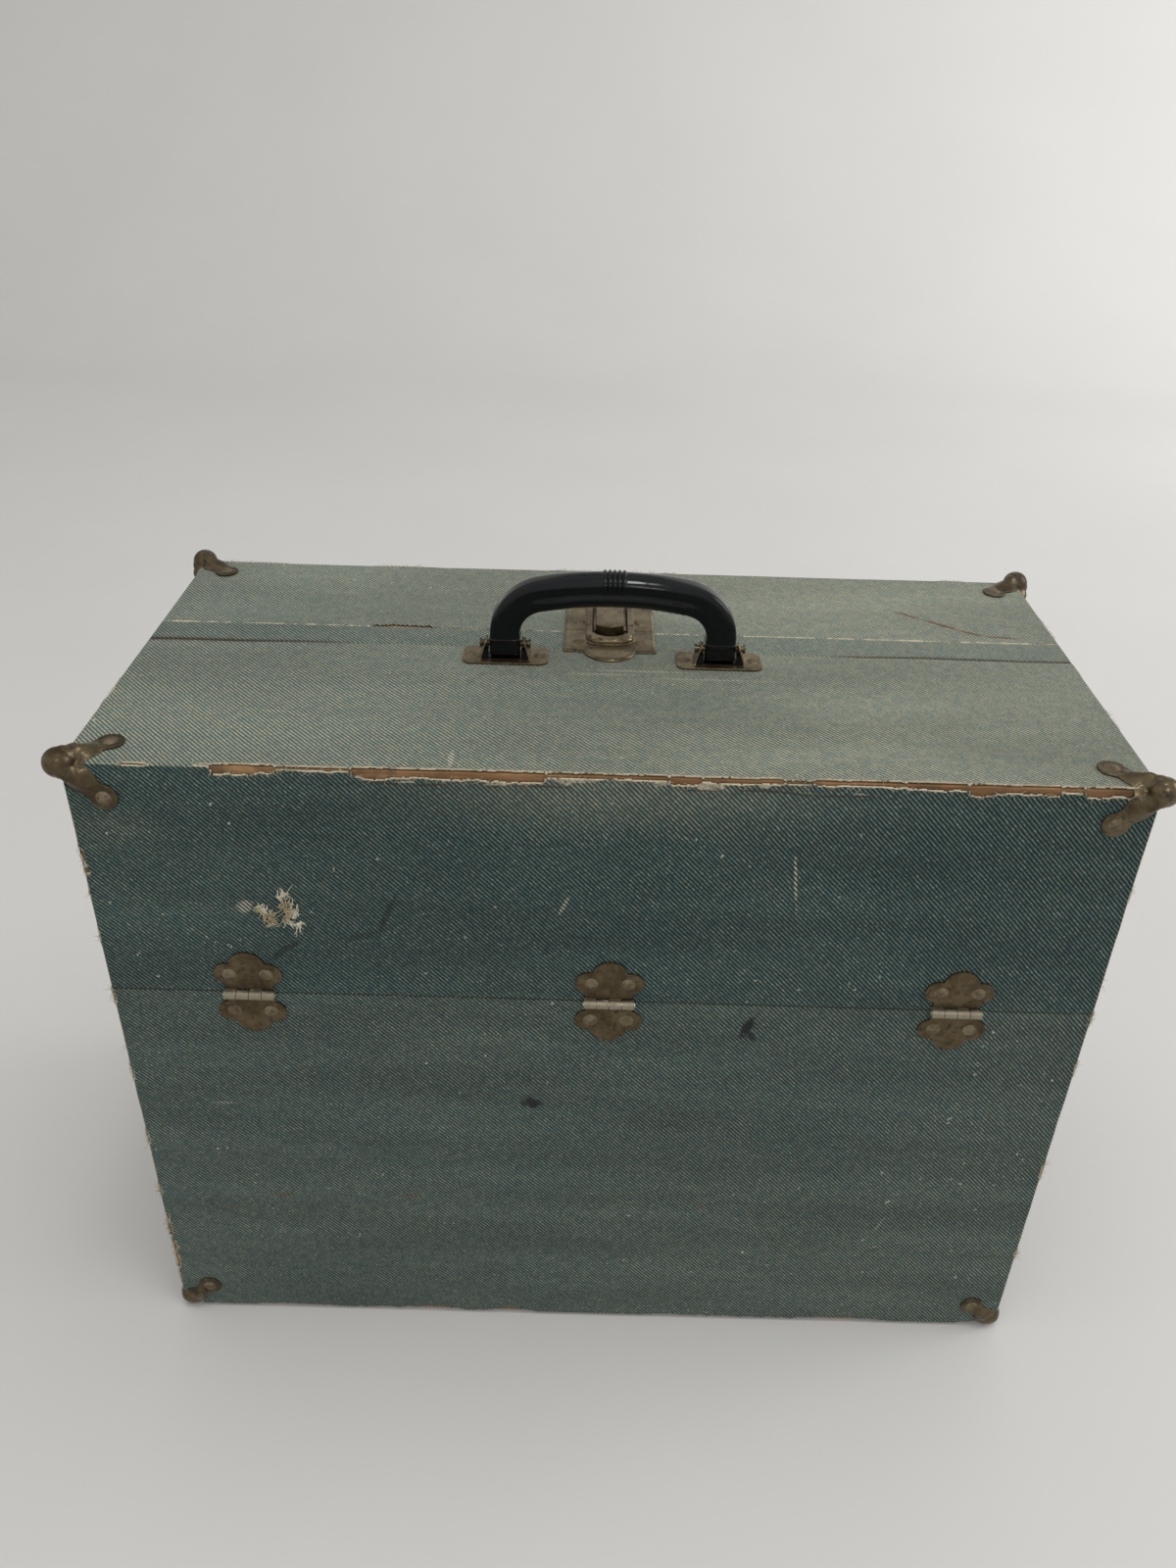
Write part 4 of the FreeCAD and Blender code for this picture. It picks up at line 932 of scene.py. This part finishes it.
def make_camera():
    """The camera, near enough to the case to show strong perspective."""
    data = bpy.data.cameras.new("camera")
    data.lens, data.sensor_width = CAMERA_LENS, CAMERA_SENSOR
    data.clip_start, data.clip_end = 0.01, 60.0
    camera = bpy.data.objects.new("camera", data)
    bpy.context.scene.collection.objects.link(camera)
    pitch, yaw, roll = [math.radians(angle) for angle in (CAMERA_PITCH, CAMERA_YAW, CAMERA_ROLL)]
    forward = Vector((math.sin(yaw) * math.cos(pitch), math.cos(yaw) * math.cos(pitch),
                      -math.sin(pitch)))
    right = Vector((math.cos(yaw), -math.sin(yaw), 0))
    down = forward.cross(right)
    turned = math.cos(roll) * right + math.sin(roll) * down
    up = math.sin(roll) * right - math.cos(roll) * down
    camera.matrix_world = Matrix((turned, up, -forward)).transposed().to_4x4()
    camera.location = CAMERA_PLACE
    bpy.context.scene.camera = camera


def area_light(name, place, target, size, power, color, mirrored):
    """A soft round lamp that faces its target."""
    data = bpy.data.lights.new(name, "AREA")
    data.shape = "DISK"
    data.size = size
    data.energy = power
    data.color = color
    lamp = bpy.data.objects.new(name, data)
    lamp.location = place
    lamp.rotation_mode = "QUATERNION"
    lamp.rotation_quaternion = (Vector(target) - Vector(place)).to_track_quat("-Z", "Y")
    lamp.visible_glossy = mirrored
    bpy.context.scene.collection.objects.link(lamp)


def sweep():
    """Floor that curves up into a wall far behind the object."""
    profile = [(SWEEP_NEAR, 0), (SWEEP_FAR, 0)]
    for angle in np.linspace(0, math.pi / 2, 25)[1:]:
        profile.append((SWEEP_FAR + SWEEP_RADIUS * math.sin(angle), SWEEP_RADIUS * (1 - math.cos(angle))))
    profile.append((SWEEP_FAR + SWEEP_RADIUS, SWEEP_TOP))
    points = [(x, y, z) for y, z in profile for x in (-SWEEP_SIDE, SWEEP_SIDE)]
    faces = [(2 * i, 2 * i + 1, 2 * i + 3, 2 * i + 2) for i in range(len(profile) - 1)]
    return new_object("floor", points, faces)


def studio():
    """World light, lamps and floor."""
    world = bpy.data.worlds.new("studio")
    world.use_nodes = True
    background = world.node_tree.nodes["Background"]
    background.inputs["Color"].default_value = WORLD_COLOR
    background.inputs["Strength"].default_value = WORLD_STRENGTH
    scene = bpy.context.scene
    scene.world = world
    scene.view_settings.view_transform = "Standard"
    for lamp in LAMPS:
        area_light(*lamp)
    floor = sweep()
    set_material(floor, floor_material())


# ---- handle ------------------------------------------
GRIP_LOW, GRIP_HIGH = box_mm("handle_grip")
PIN_LOW, PIN_HIGH = box_mm("handle_pins")
PIN_Z = (PIN_LOW[2] + PIN_HIGH[2]) / 2
HANDLE_X = (GRIP_LOW[0] + GRIP_HIGH[0]) / 2
HANDLE_Y = (PIN_LOW[1] + PIN_HIGH[1]) / 2
LEG_ACROSS, LEG_DEEP, GRIP_ROUND = 7.3, 6.2, 8.7
HALF_SPAN = 51.8
SHOULDER_RISE, SHOULDER_RADIUS, GRIP_RISE = 6.0, 20.0, 28.8
LIP_RISE = 4.2                        # the leg's lower lip above the pin
RING_SECTIONS = 96


def handle_line():
    """Half of the handle's centre line: (x, rise above the pin, heading of the outward side)."""
    centre_x = HALF_SPAN - SHOULDER_RADIUS
    drop = GRIP_RISE - SHOULDER_RISE
    long_radius = (centre_x ** 2 + drop ** 2 - SHOULDER_RADIUS ** 2) / (2 * (drop - SHOULDER_RADIUS))
    long_z = GRIP_RISE - long_radius
    meet = math.atan2(SHOULDER_RISE - long_z, centre_x)
    stations = [(HALF_SPAN, LIP_RISE + 0.35 * step, 0.0) for step in range(6)]
    for angle in np.linspace(0, meet, 22)[1:]:
        stations.append((centre_x + SHOULDER_RADIUS * math.cos(angle),
                         SHOULDER_RISE + SHOULDER_RADIUS * math.sin(angle), angle))
    span = math.pi / 2 - meet
    for share in np.linspace(0, 1, 170)[1:]:
        angle = meet + span * share
        stations.append((long_radius * math.cos(angle), long_z + long_radius * math.sin(angle), angle))
    return stations


RIB_MIDDLE, RIB_PITCH, RIB_HEIGHT = -0.1, 2.2, 0.85


def rib_height(x):
    """Five raised rings across the middle of the grip."""
    place = (x - RIB_MIDDLE) / RIB_PITCH
    nearest = round(place)
    if abs(nearest) > 2:
        return 0.0
    return RIB_HEIGHT * max(0.0, math.cos((place - nearest) * math.pi * 1.15)) ** 0.8


def squared(index, power):
    """Cosine, sine and reach of one point of a rounded square's outline."""
    turn = 2 * math.pi * index / RING_SECTIONS
    c, s = math.cos(turn), math.sin(turn)
    return c, s, (abs(c) ** power + abs(s) ** power) ** (-1 / power)


def grip_ring(x, rise, heading, side):
    """Section of one half of the bow: round on top, creased at the sides, slimmer below."""
    fullness = smooth(0.0, 0.72, 1 - abs(x) / HALF_SPAN)
    across = LEG_ACROSS + (GRIP_ROUND - LEG_ACROSS) * fullness
    deep = LEG_DEEP + (GRIP_ROUND - LEG_DEEP) * fullness
    outward = np.array([math.cos(heading), 0.0, math.sin(heading)])
    rib = rib_height(side * x)
    ring = []
    for index in range(RING_SECTIONS):
        c, s, reach = squared(index, 4.5 - 2.5 * fullness)
        off_top = abs(math.degrees(math.atan2(s, c)))
        crease_swell = 0.085 * math.exp(-((off_top - 56) / 6.5) ** 2)
        waist = -0.135 * math.exp(-((off_top - 86) / 19) ** 2)
        below = -0.07 * smooth(100, 150, off_top)
        factor = reach * (1 + fullness * (crease_swell + waist + below))
        extra = rib * (1 - smooth(68, 84, off_top))
        ring.append(np.array([x, 0.0, rise]) + outward * c * (across * factor + extra)
                    + np.array([0, -1.0, 0]) * s * (deep * factor + extra))
    return np.array(ring) * [side, 1, 1]


def foot_ring(rise, across, deep):
    """Rounded rectangular section of a handle foot, at the right leg."""
    ring = []
    for index in range(RING_SECTIONS):
        c, s, reach = squared(index, 6)
        ring.append([HALF_SPAN + across * c * reach, -deep * s * reach, rise])
    return np.array(ring)


# Sections of a foot from below upwards: rise above the pin, half width along x, half depth.
FOOT_SECTIONS = (
    (-6.1, 6.9, 1.4), (-5.6, 7.2, 2.9), (-4.6, 7.3, 4.2), (-3.0, 7.3, 4.8), (0, 7.3, 4.9),
    (2.9, 7.3, 4.9), (3.1, 7.45, 5.3), (3.3, 7.55, 6.1), (3.7, 7.6, 6.35), (4.1, 7.45, 6.3),
)
PAD_ACROSS, PAD_DEEP, PAD_TOP = 8.0, 3.9, 1.5


def handle_piece(material):
    """The moulded bow with its two feet, as one loft from foot to foot."""
    feet = [foot_ring(*section) for section in FOOT_SECTIONS]
    stations = handle_line()
    right = [grip_ring(*station, 1) for station in stations]
    left = [grip_ring(*station, -1) for station in reversed(stations[:-1])]
    rings = feet + right + left + [ring * [-1, 1, 1] for ring in reversed(feet)]
    points = np.concatenate(rings) + [HANDLE_X, HANDLE_Y, PIN_Z]
    obj = new_object("handle_bow", points, loft_faces(len(rings), RING_SECTIONS))
    dress(obj, material, "handle", "handle_grip")


def shade_pads(material):
    """Black pads on the plates under the handle's feet; they stand for the shade the feet cast on the
    plates, a painted shadow.
    """
    low = box_mm("handle_foot_spacers")[0][2]
    rings = [foot_ring(rise, PAD_ACROSS, PAD_DEEP) * [side, 1, 1] + [HANDLE_X, HANDLE_Y, 0]
             for side in (-1, 1) for rise in (low, TOP + PAD_TOP)]
    faces = [tuple(index + start for index in face) for start in (0, 2 * RING_SECTIONS)
             for face in loft_faces(2, RING_SECTIONS)]
    obj = new_object("handle_foot_shade_pads", np.concatenate(rings), faces, smooth_shade=False)
    with edited(obj) as mesh:
        bmesh.ops.recalc_face_normals(mesh, faces=mesh.faces)
    dress(obj, material, "near_lid")


# ---- pressed metal -----------------------------------
HEAD_INSET, HEAD_RADIUS, HEAD_SKIN, HOLLOW = 4.8, 7.3, 2.2, 30.0


def add_cap_heads(obj):
    """Joins round heads to the bottom caps, hollow from just inside the case's faces."""
    heads, hollows = bmesh.new(), bmesh.new()
    for x_side in (-1, 1):
        for y_side in (-1, 1):
            outward = np.array([x_side, y_side, -1])
            corner = np.array([x_side * HALF_X, y_side * HALF_Y, FOOT])
            centre = (corner - outward * HEAD_INSET) * MM
            bmesh.ops.create_icosphere(heads, subdivisions=5, radius=HEAD_RADIUS * MM,
                                       matrix=Matrix.Translation(centre))
            middle = (corner - outward * (HEAD_SKIN + HOLLOW / 2)) * MM
            bmesh.ops.create_cube(hollows, size=HOLLOW * MM, matrix=Matrix.Translation(middle))
    made = []
    for mesh, name in ((heads, "heads"), (hollows, "hollows")):
        part = new_object(name, np.empty((0, 3)), [])
        mesh.to_mesh(part.data)
        mesh.free()
        made.append(part)
    add_modifier(made[0], "BOOLEAN", operation="DIFFERENCE", object=made[1], solver="EXACT")
    apply_modifiers(made[0])
    join_into(obj, made[0])
    bpy.data.objects.remove(made[1], do_unlink=True)


COLLAR_HALF, COLLAR_BACK, COLLAR_FRONT = 10.3, 20.5, 14.2
COLLAR_RADIUS, COLLAR_LIFT, COLLAR_SQUARENESS = 1.75, 2.1, 0.70


def add_collar_roll(obj):
    """Joins the thick rolled edge of the latch's collar to the keeper plate."""
    low, high = box_mm("latch_keeper_plate")
    middle, _ = middle_and_half(low, high)
    z = TOP + COLLAR_LIFT
    path = [(middle + COLLAR_HALF, high[1] - 0.1, z), (middle + COLLAR_HALF, COLLAR_BACK + 3, z)]
    for turn in np.linspace(0, math.pi, 33):
        c, s = math.cos(turn), math.sin(turn)
        x = math.copysign(abs(c) ** COLLAR_SQUARENESS, c) * COLLAR_HALF
        y = COLLAR_BACK - (COLLAR_BACK - COLLAR_FRONT) * s ** COLLAR_SQUARENESS
        path.append((middle + x, y, z))
    path += [(2 * middle - x, y, z) for x, y, z in reversed(path[:2])]
    join_into(obj, new_object("roll", *tube(path, COLLAR_RADIUS, 16, 1.0)))


def join_into(obj, part):
    """Moves the mesh of part into obj."""
    with edited(obj) as mesh:
        mesh.from_mesh(part.data)
        bmesh.ops.recalc_face_normals(mesh, faces=mesh.faces)
    bpy.data.objects.remove(part, do_unlink=True)


def pressed_piece(node, name, body, material, voxel, rounds, reshape=None, addition=None):
    """A CAD node's form with its edges worn soft, as pressed sheet has them."""
    obj = copy_of_node(node, name)
    with edited(obj) as mesh:
        bmesh.ops.remove_doubles(mesh, verts=mesh.verts, dist=1e-6)
    if addition is not None:
        addition(obj)
    add_modifier(obj, "REMESH", mode="VOXEL", voxel_size=voxel * MM)
    if reshape is not None:
        apply_modifiers(obj)
        points = np.array([v.co for v in obj.data.vertices]) / MM
        obj.data.vertices.foreach_set("co", (reshape(points) * MM).ravel())
    add_modifier(obj, "SMOOTH", factor=0.5, iterations=rounds)
    apply_modifiers(obj)
    obj.data.polygons.foreach_set("use_smooth", [True] * len(obj.data.polygons))
    dress(obj, material, body, node)


def fluted_caps(points):
    """Pinches the caps' legs, raises a rib along them and fills the top caps' shoulders."""
    signs = np.sign(points - [0, 0, (TOP + FOOT) / 2])
    headed = signs[:, 2] > 0
    corner = signs * [HALF_X, HALF_Y, 0] + np.where(signs[:, 2:] > 0, [0, 0, TOP], [0, 0, FOOT])
    inward = (corner - points) * signs
    result = inward.copy()
    pinch = np.where(headed, 0.05, 0.30)
    rib = np.where(headed, 0.5, 1.0)
    for normal in range(3):
        u, v = [axis for axis in range(3) if axis != normal]
        along = (inward[:, u] + inward[:, v]) / math.sqrt(2)
        across = (inward[:, u] - inward[:, v]) / math.sqrt(2)
        on_leg = (inward[:, normal] < 0.35) & (along > 10) & (np.abs(across) < 8)
        waist = np.exp(-((along - 15.5) / 3.4) ** 2)
        shift = -across * np.where(on_leg, pinch * waist, 0) / math.sqrt(2)
        result[:, u] += shift
        result[:, v] -= shift
        proud = rib * np.exp(-(across / 2.3) ** 2) * smooth(10, 13, along)
        proud = proud * (1 - smooth(16.0, 19.0, along))
        skin = inward[:, normal] < -0.2
        result[:, normal] -= np.where(on_leg & skin, proud, 0)
        shoulder = 2.4 * np.exp(-((along - 8.0) / 4.2) ** 2 - (across / 4.4) ** 2)
        beside = headed & skin & (inward[:, u] > 0.5) & (inward[:, v] > 0.5)
        result[:, normal] -= np.where(beside, shoulder, 0)
    moved = corner - result * signs
    moved[:, 2] = np.maximum(moved[:, 2], 0.0)
    return moved


def raised_rim(points, gap):
    """Raises a narrow rim beside a plate's edge; gap is each point's distance from the edge."""
    flat = (points[:, 2] > TOP + 0.9) & (points[:, 2] < TOP + 1.6)
    rim = 0.42 * np.exp(-((gap - 1.3) / 0.75) ** 2) - 0.35 * np.exp(-(gap / 0.6) ** 2)
    moved = points.copy()
    moved[:, 2] += np.where(flat, rim, 0)
    return moved


SCALLOP_HALF, SCALLOP_BULGE = 13.0, 10.2


def rimmed_keeper(points):
    """The keeper plate with a rim along its free edges; its front bulges in an arc."""
    low, high = box_mm("latch_keeper_plate")
    middle, half = middle_and_half(low, high)
    x = points[:, 0] - middle
    radius = (SCALLOP_HALF ** 2 + SCALLOP_BULGE ** 2) / (2 * SCALLOP_BULGE)
    arc = low[1] + radius - np.sqrt(np.maximum(radius ** 2 - x ** 2, 0))
    on_arc = np.abs(x) < SCALLOP_HALF
    front = np.where(on_arc, arc, low[1] + SCALLOP_BULGE)
    slope = np.where(on_arc, np.abs(x) / radius, 0)
    from_front = (points[:, 1] - front) * np.sqrt(np.maximum(1 - slope ** 2, 0.1))
    return raised_rim(points, np.minimum(from_front, half - np.abs(x)))


def rimmed_base(points):
    """The latch's base plate with a rim along its left, right and far edges."""
    low, high = box_mm("latch_base_plate")
    middle, half = middle_and_half(low, high)
    return raised_rim(points, np.minimum(half - np.abs(points[:, 0] - middle), high[1] - points[:, 1]))


# ---- loose threads and torn fibre --------------------
TUFT_CENTRE = np.array([-145.1, NEAR_FACE, 283.0])
# The tuft's clumps: (x and z from its centre, spread, number of fibres).
TUFT_CLUMPS = (
    (-7.5, 2.5, 2.4, 34), (-5.0, -3.0, 3.0, 42), (-3.5, -7.5, 2.0, 26), (2.0, 8.0, 2.0, 30),
    (3.0, 3.0, 2.4, 44), (5.5, -1.5, 3.0, 56), (8.0, -6.0, 1.6, 18), (2.5, -3.5, 2.2, 30),
)


def torn_tuft(material):
    """Pale torn fibres that stand out of a small tear in the near wall's cloth."""
    rng = np.random.default_rng(5)
    steps = np.linspace(0, 1, 5)
    strands = Strands()
    for dx, dz, spread, count in TUFT_CLUMPS:
        lean = np.array([rng.normal(0, 0.5), -0.35, rng.normal(0, 0.9)])
        for _ in range(count):
            off = [dx + rng.normal(0, spread * 0.45), 0.0, dz + rng.normal(0, spread * 0.45)]
            way = lean + rng.normal(0, 0.45, 3) * [1, 0.5, 1]
            way = way / np.linalg.norm(way)
            way[1] = -abs(way[1])
            length = rng.uniform(1.6, 4.6)
            path = curled(TUFT_CENTRE + off, way, length, rng.normal(0, 0.35, 3), steps)
            path[:, 1] = np.minimum(path[:, 1], NEAR_FACE - 0.1 - 0.3 * steps)
            strands.add(path, rng.uniform(0.15, 0.30))
    dress(strands.build("torn_fibre_tuft"), material, "near_lid")


# Where longer threads hang from the base's worn edges: (x, z, how many, spread in z, length).
BASE_THREADS = (
    (-HALF_X, 198.0, 3, 1.5, 6.0), (-HALF_X, 231.0, 5, 4.0, 3.5), (-HALF_X, 136.0, 7, 8.0, 4.5),
    (-HALF_X, 97.0, 7, 5.0, 4.0), (-HALF_X, 70.0, 9, 9.0, 4.5), (-HALF_X, 45.0, 9, 9.0, 4.5),
    (HALF_X, 131.0, 9, 5.0, 3.6), (HALF_X, 63.0, 5, 4.0, 3.0), (HALF_X, 201.0, 4, 4.0, 3.0),
)
NEAR_LID_THREADS = (
    (-HALF_X, 308.0, 7, 7.0, 3.0), (-HALF_X, 265.0, 5, 4.0, 3.0), (-HALF_X, 290.0, 4, 3.0, 2.6),
    (HALF_X, 304.0, 5, 4.0, 2.8), (HALF_X, 255.0, 4, 8.0, 2.4),
)


def loose_threads(name, places, body, material, seed):
    """Longer threads that curl out of the near upright edges."""
    rng = np.random.default_rng(seed)
    strands = Strands()
    for x, z, count, spread, length in places:
        side = math.copysign(1, x)
        for _ in range(count):
            start = np.array([x - side * 0.4, NEAR_FACE + 0.4, z + rng.normal(0, spread * 0.5)])
            way = np.array([side * rng.uniform(0.05, 0.5), -rng.uniform(0.05, 0.4), rng.normal(-0.3, 0.8)])
            way /= np.linalg.norm(way)
            curl = rng.normal(0, 0.45, 3)
            path = curled(start, way, length * rng.uniform(0.5, 1.15), curl, np.linspace(0, 1, 7))
            path[:, 0] = side * np.clip(side * path[:, 0], HALF_X - 1.5, HALF_X + 2.3)
            path[:, 1] = np.clip(path[:, 1], NEAR_FACE - 2.5, NEAR_FACE + 1.0)
            strands.add(path, rng.uniform(0.09, 0.15))
    dress(strands.build(name), material, body)


# ---- CAD nodes that keep their shape -----------------
def finish_node(node, material, bevel=None):
    """Gives a CAD node its material and, where a width is given, soft edges."""
    obj = NODES[node]
    for index in range(max(1, len(obj.material_slots))):
        if index < len(obj.material_slots):
            obj.material_slots[index].material = material
        else:
            obj.data.materials.append(material)
    if bevel:
        add_modifier(obj, "BEVEL", width=bevel * MM, segments=2, limit_method="ANGLE",
                     angle_limit=math.radians(38), use_clamp_overlap=True)


def pressed_pieces(cap, latch):
    """The caps, the latch and the handle plates, reworked from their CAD nodes."""
    for node, body, addition in (("bottom_corner_caps", "case_base", add_cap_heads),
                                 ("near_lid_corner_caps", "near_lid", None),
                                 ("far_lid_corner_caps", "far_lid", None)):
        pressed_piece(node, node + "_pressed", body, cap, 0.42, 6, fluted_caps, addition)
    for node, name, body, voxel, rounds, reshape, addition in (
            ("latch_keeper_plate", "latch_keeper_pressed", "near_lid", 0.30, 4, rimmed_keeper,
             add_collar_roll),
            ("latch_base_plate", "latch_base_pressed", "far_lid", 0.30, 4, rimmed_base, None),
            ("hasp", "hasp_worn", "latch_hasp", 0.30, 6, None, None),
            ("left_handle_plate", "left_handle_plate_worn", "near_lid", 0.26, 3, None, None),
            ("right_handle_plate", "right_handle_plate_worn", "near_lid", 0.26, 3, None, None)):
        pressed_piece(node, name, body, latch, voxel, rounds, reshape, addition)


REMADE = ("corner_caps", "handle_grip", "latch_keeper_plate", "latch_base_plate", "hasp",
          "handle_plate", "cloth")


def cad_nodes(cap, plastic):
    """Materials and soft edges of the CAD nodes that are shown as they are."""
    board_x = board_material("board_long", (0.12, 1.0, 1.0))
    board_y = board_material("board_cross", (1.0, 0.12, 1.0))
    rivet = metal_material("rivet_metal", (0.25, 0.205, 0.135), (0.135, 0.104, 0.064),
                           (0.05, 0.035, 0.022), 0.50, 0.45, 220.0)
    # The hinge leaves get a lighter band round the knuckles: partly worn bright, partly a painted
    # highlight.
    hinge = metal_material("hinge_metal", (0.140, 0.106, 0.060), (0.080, 0.058, 0.032),
                           (0.035, 0.022, 0.012), 0.45, 0.3, 120.0,
                           (HINGE_Z, (0.31, 0.27, 0.20)))
    steel = metal_material("steel", (0.52, 0.50, 0.46), (0.36, 0.34, 0.31), (0.12, 0.10, 0.08),
                           0.34, 0.9)
    tray = wood_material("tray_wood", (0.50, 0.33, 0.17), (0.30, 0.17, 0.075), (0.10, 1.0, 1.0),
                         48.0, 0.42)
    ply = wood_material("tray_ply", (0.56, 0.40, 0.23), (0.42, 0.27, 0.14), (0.10, 1.0, 1.0),
                        36.0, 0.5)
    for node in NODES:
        if node.endswith(REMADE):
            continue
        if node.endswith(("_end", "_cheek")):
            finish_node(node, board_y)
        elif node.endswith("_rivets"):
            finish_node(node, rivet)
        elif node.startswith(("base_", "near_lid_", "far_lid_")):
            finish_node(node, board_x)
        elif "leaves" in node:
            finish_node(node, hinge, 0.22)
        elif node in ("handle_pins", "hasp_pin"):
            finish_node(node, cap, 0.15)
        # The spacers get the black plastic so that they fill the gaps beside the handle's feet with black:
        # painted shade.
        elif node == "handle_foot_spacers":
            finish_node(node, plastic, 0.4)
        elif node.endswith("_floor"):
            finish_node(node, ply)
        elif node.endswith(("_frame", "_dividers")):
            finish_node(node, tray, 0.8)
        else:
            finish_node(node, steel, 0.15)


def lid_cut(top_depth):
    """Flat size and area in metres of a lid's cloth, with its two corners cut away."""
    wall, length = (NEAR_HIGH[2] - NEAR_LOW[2]) * MM, 2 * HALF_X * MM
    top = top_depth * MM
    return (wall + top, length + 2 * wall), length * (wall + top) + 2 * wall * top


def base_cut():
    """Flat size in metres of the base's cloth; its area is the whole strip."""
    length, depth = 2 * HALF_X * MM, 2 * HALF_Y * MM
    return ((BASE_HIGH[2] - BASE_LOW[2]) * MM, 2 * (length + depth)), None


def cloth_covers(fibre):
    """The three glued covers with the fibres along their torn edges."""
    cloth = cloth_material()
    for make, body, node, cut in (
            (base_cover, "case_base", "base_cloth", base_cut()),
            (near_cover, "near_lid", "near_lid_cloth", lid_cut(NEAR_HIGH[1] + HALF_Y)),
            (far_cover, "far_lid", "far_lid_cloth", lid_cut(HALF_Y - FAR_LOW[1]))):
        obj, data = make()
        dress(obj, cloth, body, node)
        fibre_fringe(node + "_fibres", data, body, fibre)


def main():
    """Builds every piece, then the studio."""
    fibre = fibre_material("cream_fibre", (0.60, 0.54, 0.40), (0.42, 0.34, 0.22))
    pale_fibre = fibre_material("pale_fibre", (0.82, 0.78, 0.63), (0.50, 0.41, 0.26))
    plastic = plastic_material()
    cap = metal_material("cap_metal", (0.158, 0.122, 0.072), (0.064, 0.046, 0.025),
                         (0.022, 0.015, 0.010), 0.30, 0.3, 60.0)
    latch = metal_material("latch_metal", (0.245, 0.196, 0.116), (0.116, 0.088, 0.049),
                           (0.035, 0.025, 0.016), 0.27, 0.5, 70.0)
    handle_piece(plastic)
    shade_pads(plastic)
    pressed_pieces(cap, latch)
    torn_tuft(pale_fibre)
    loose_threads("base_loose_threads", BASE_THREADS, "case_base", fibre, 21)
    loose_threads("near_lid_loose_threads", NEAR_LID_THREADS, "near_lid", fibre, 22)
    cad_nodes(cap, plastic)
    cloth_covers(fibre)
    make_camera()
    studio()


main()
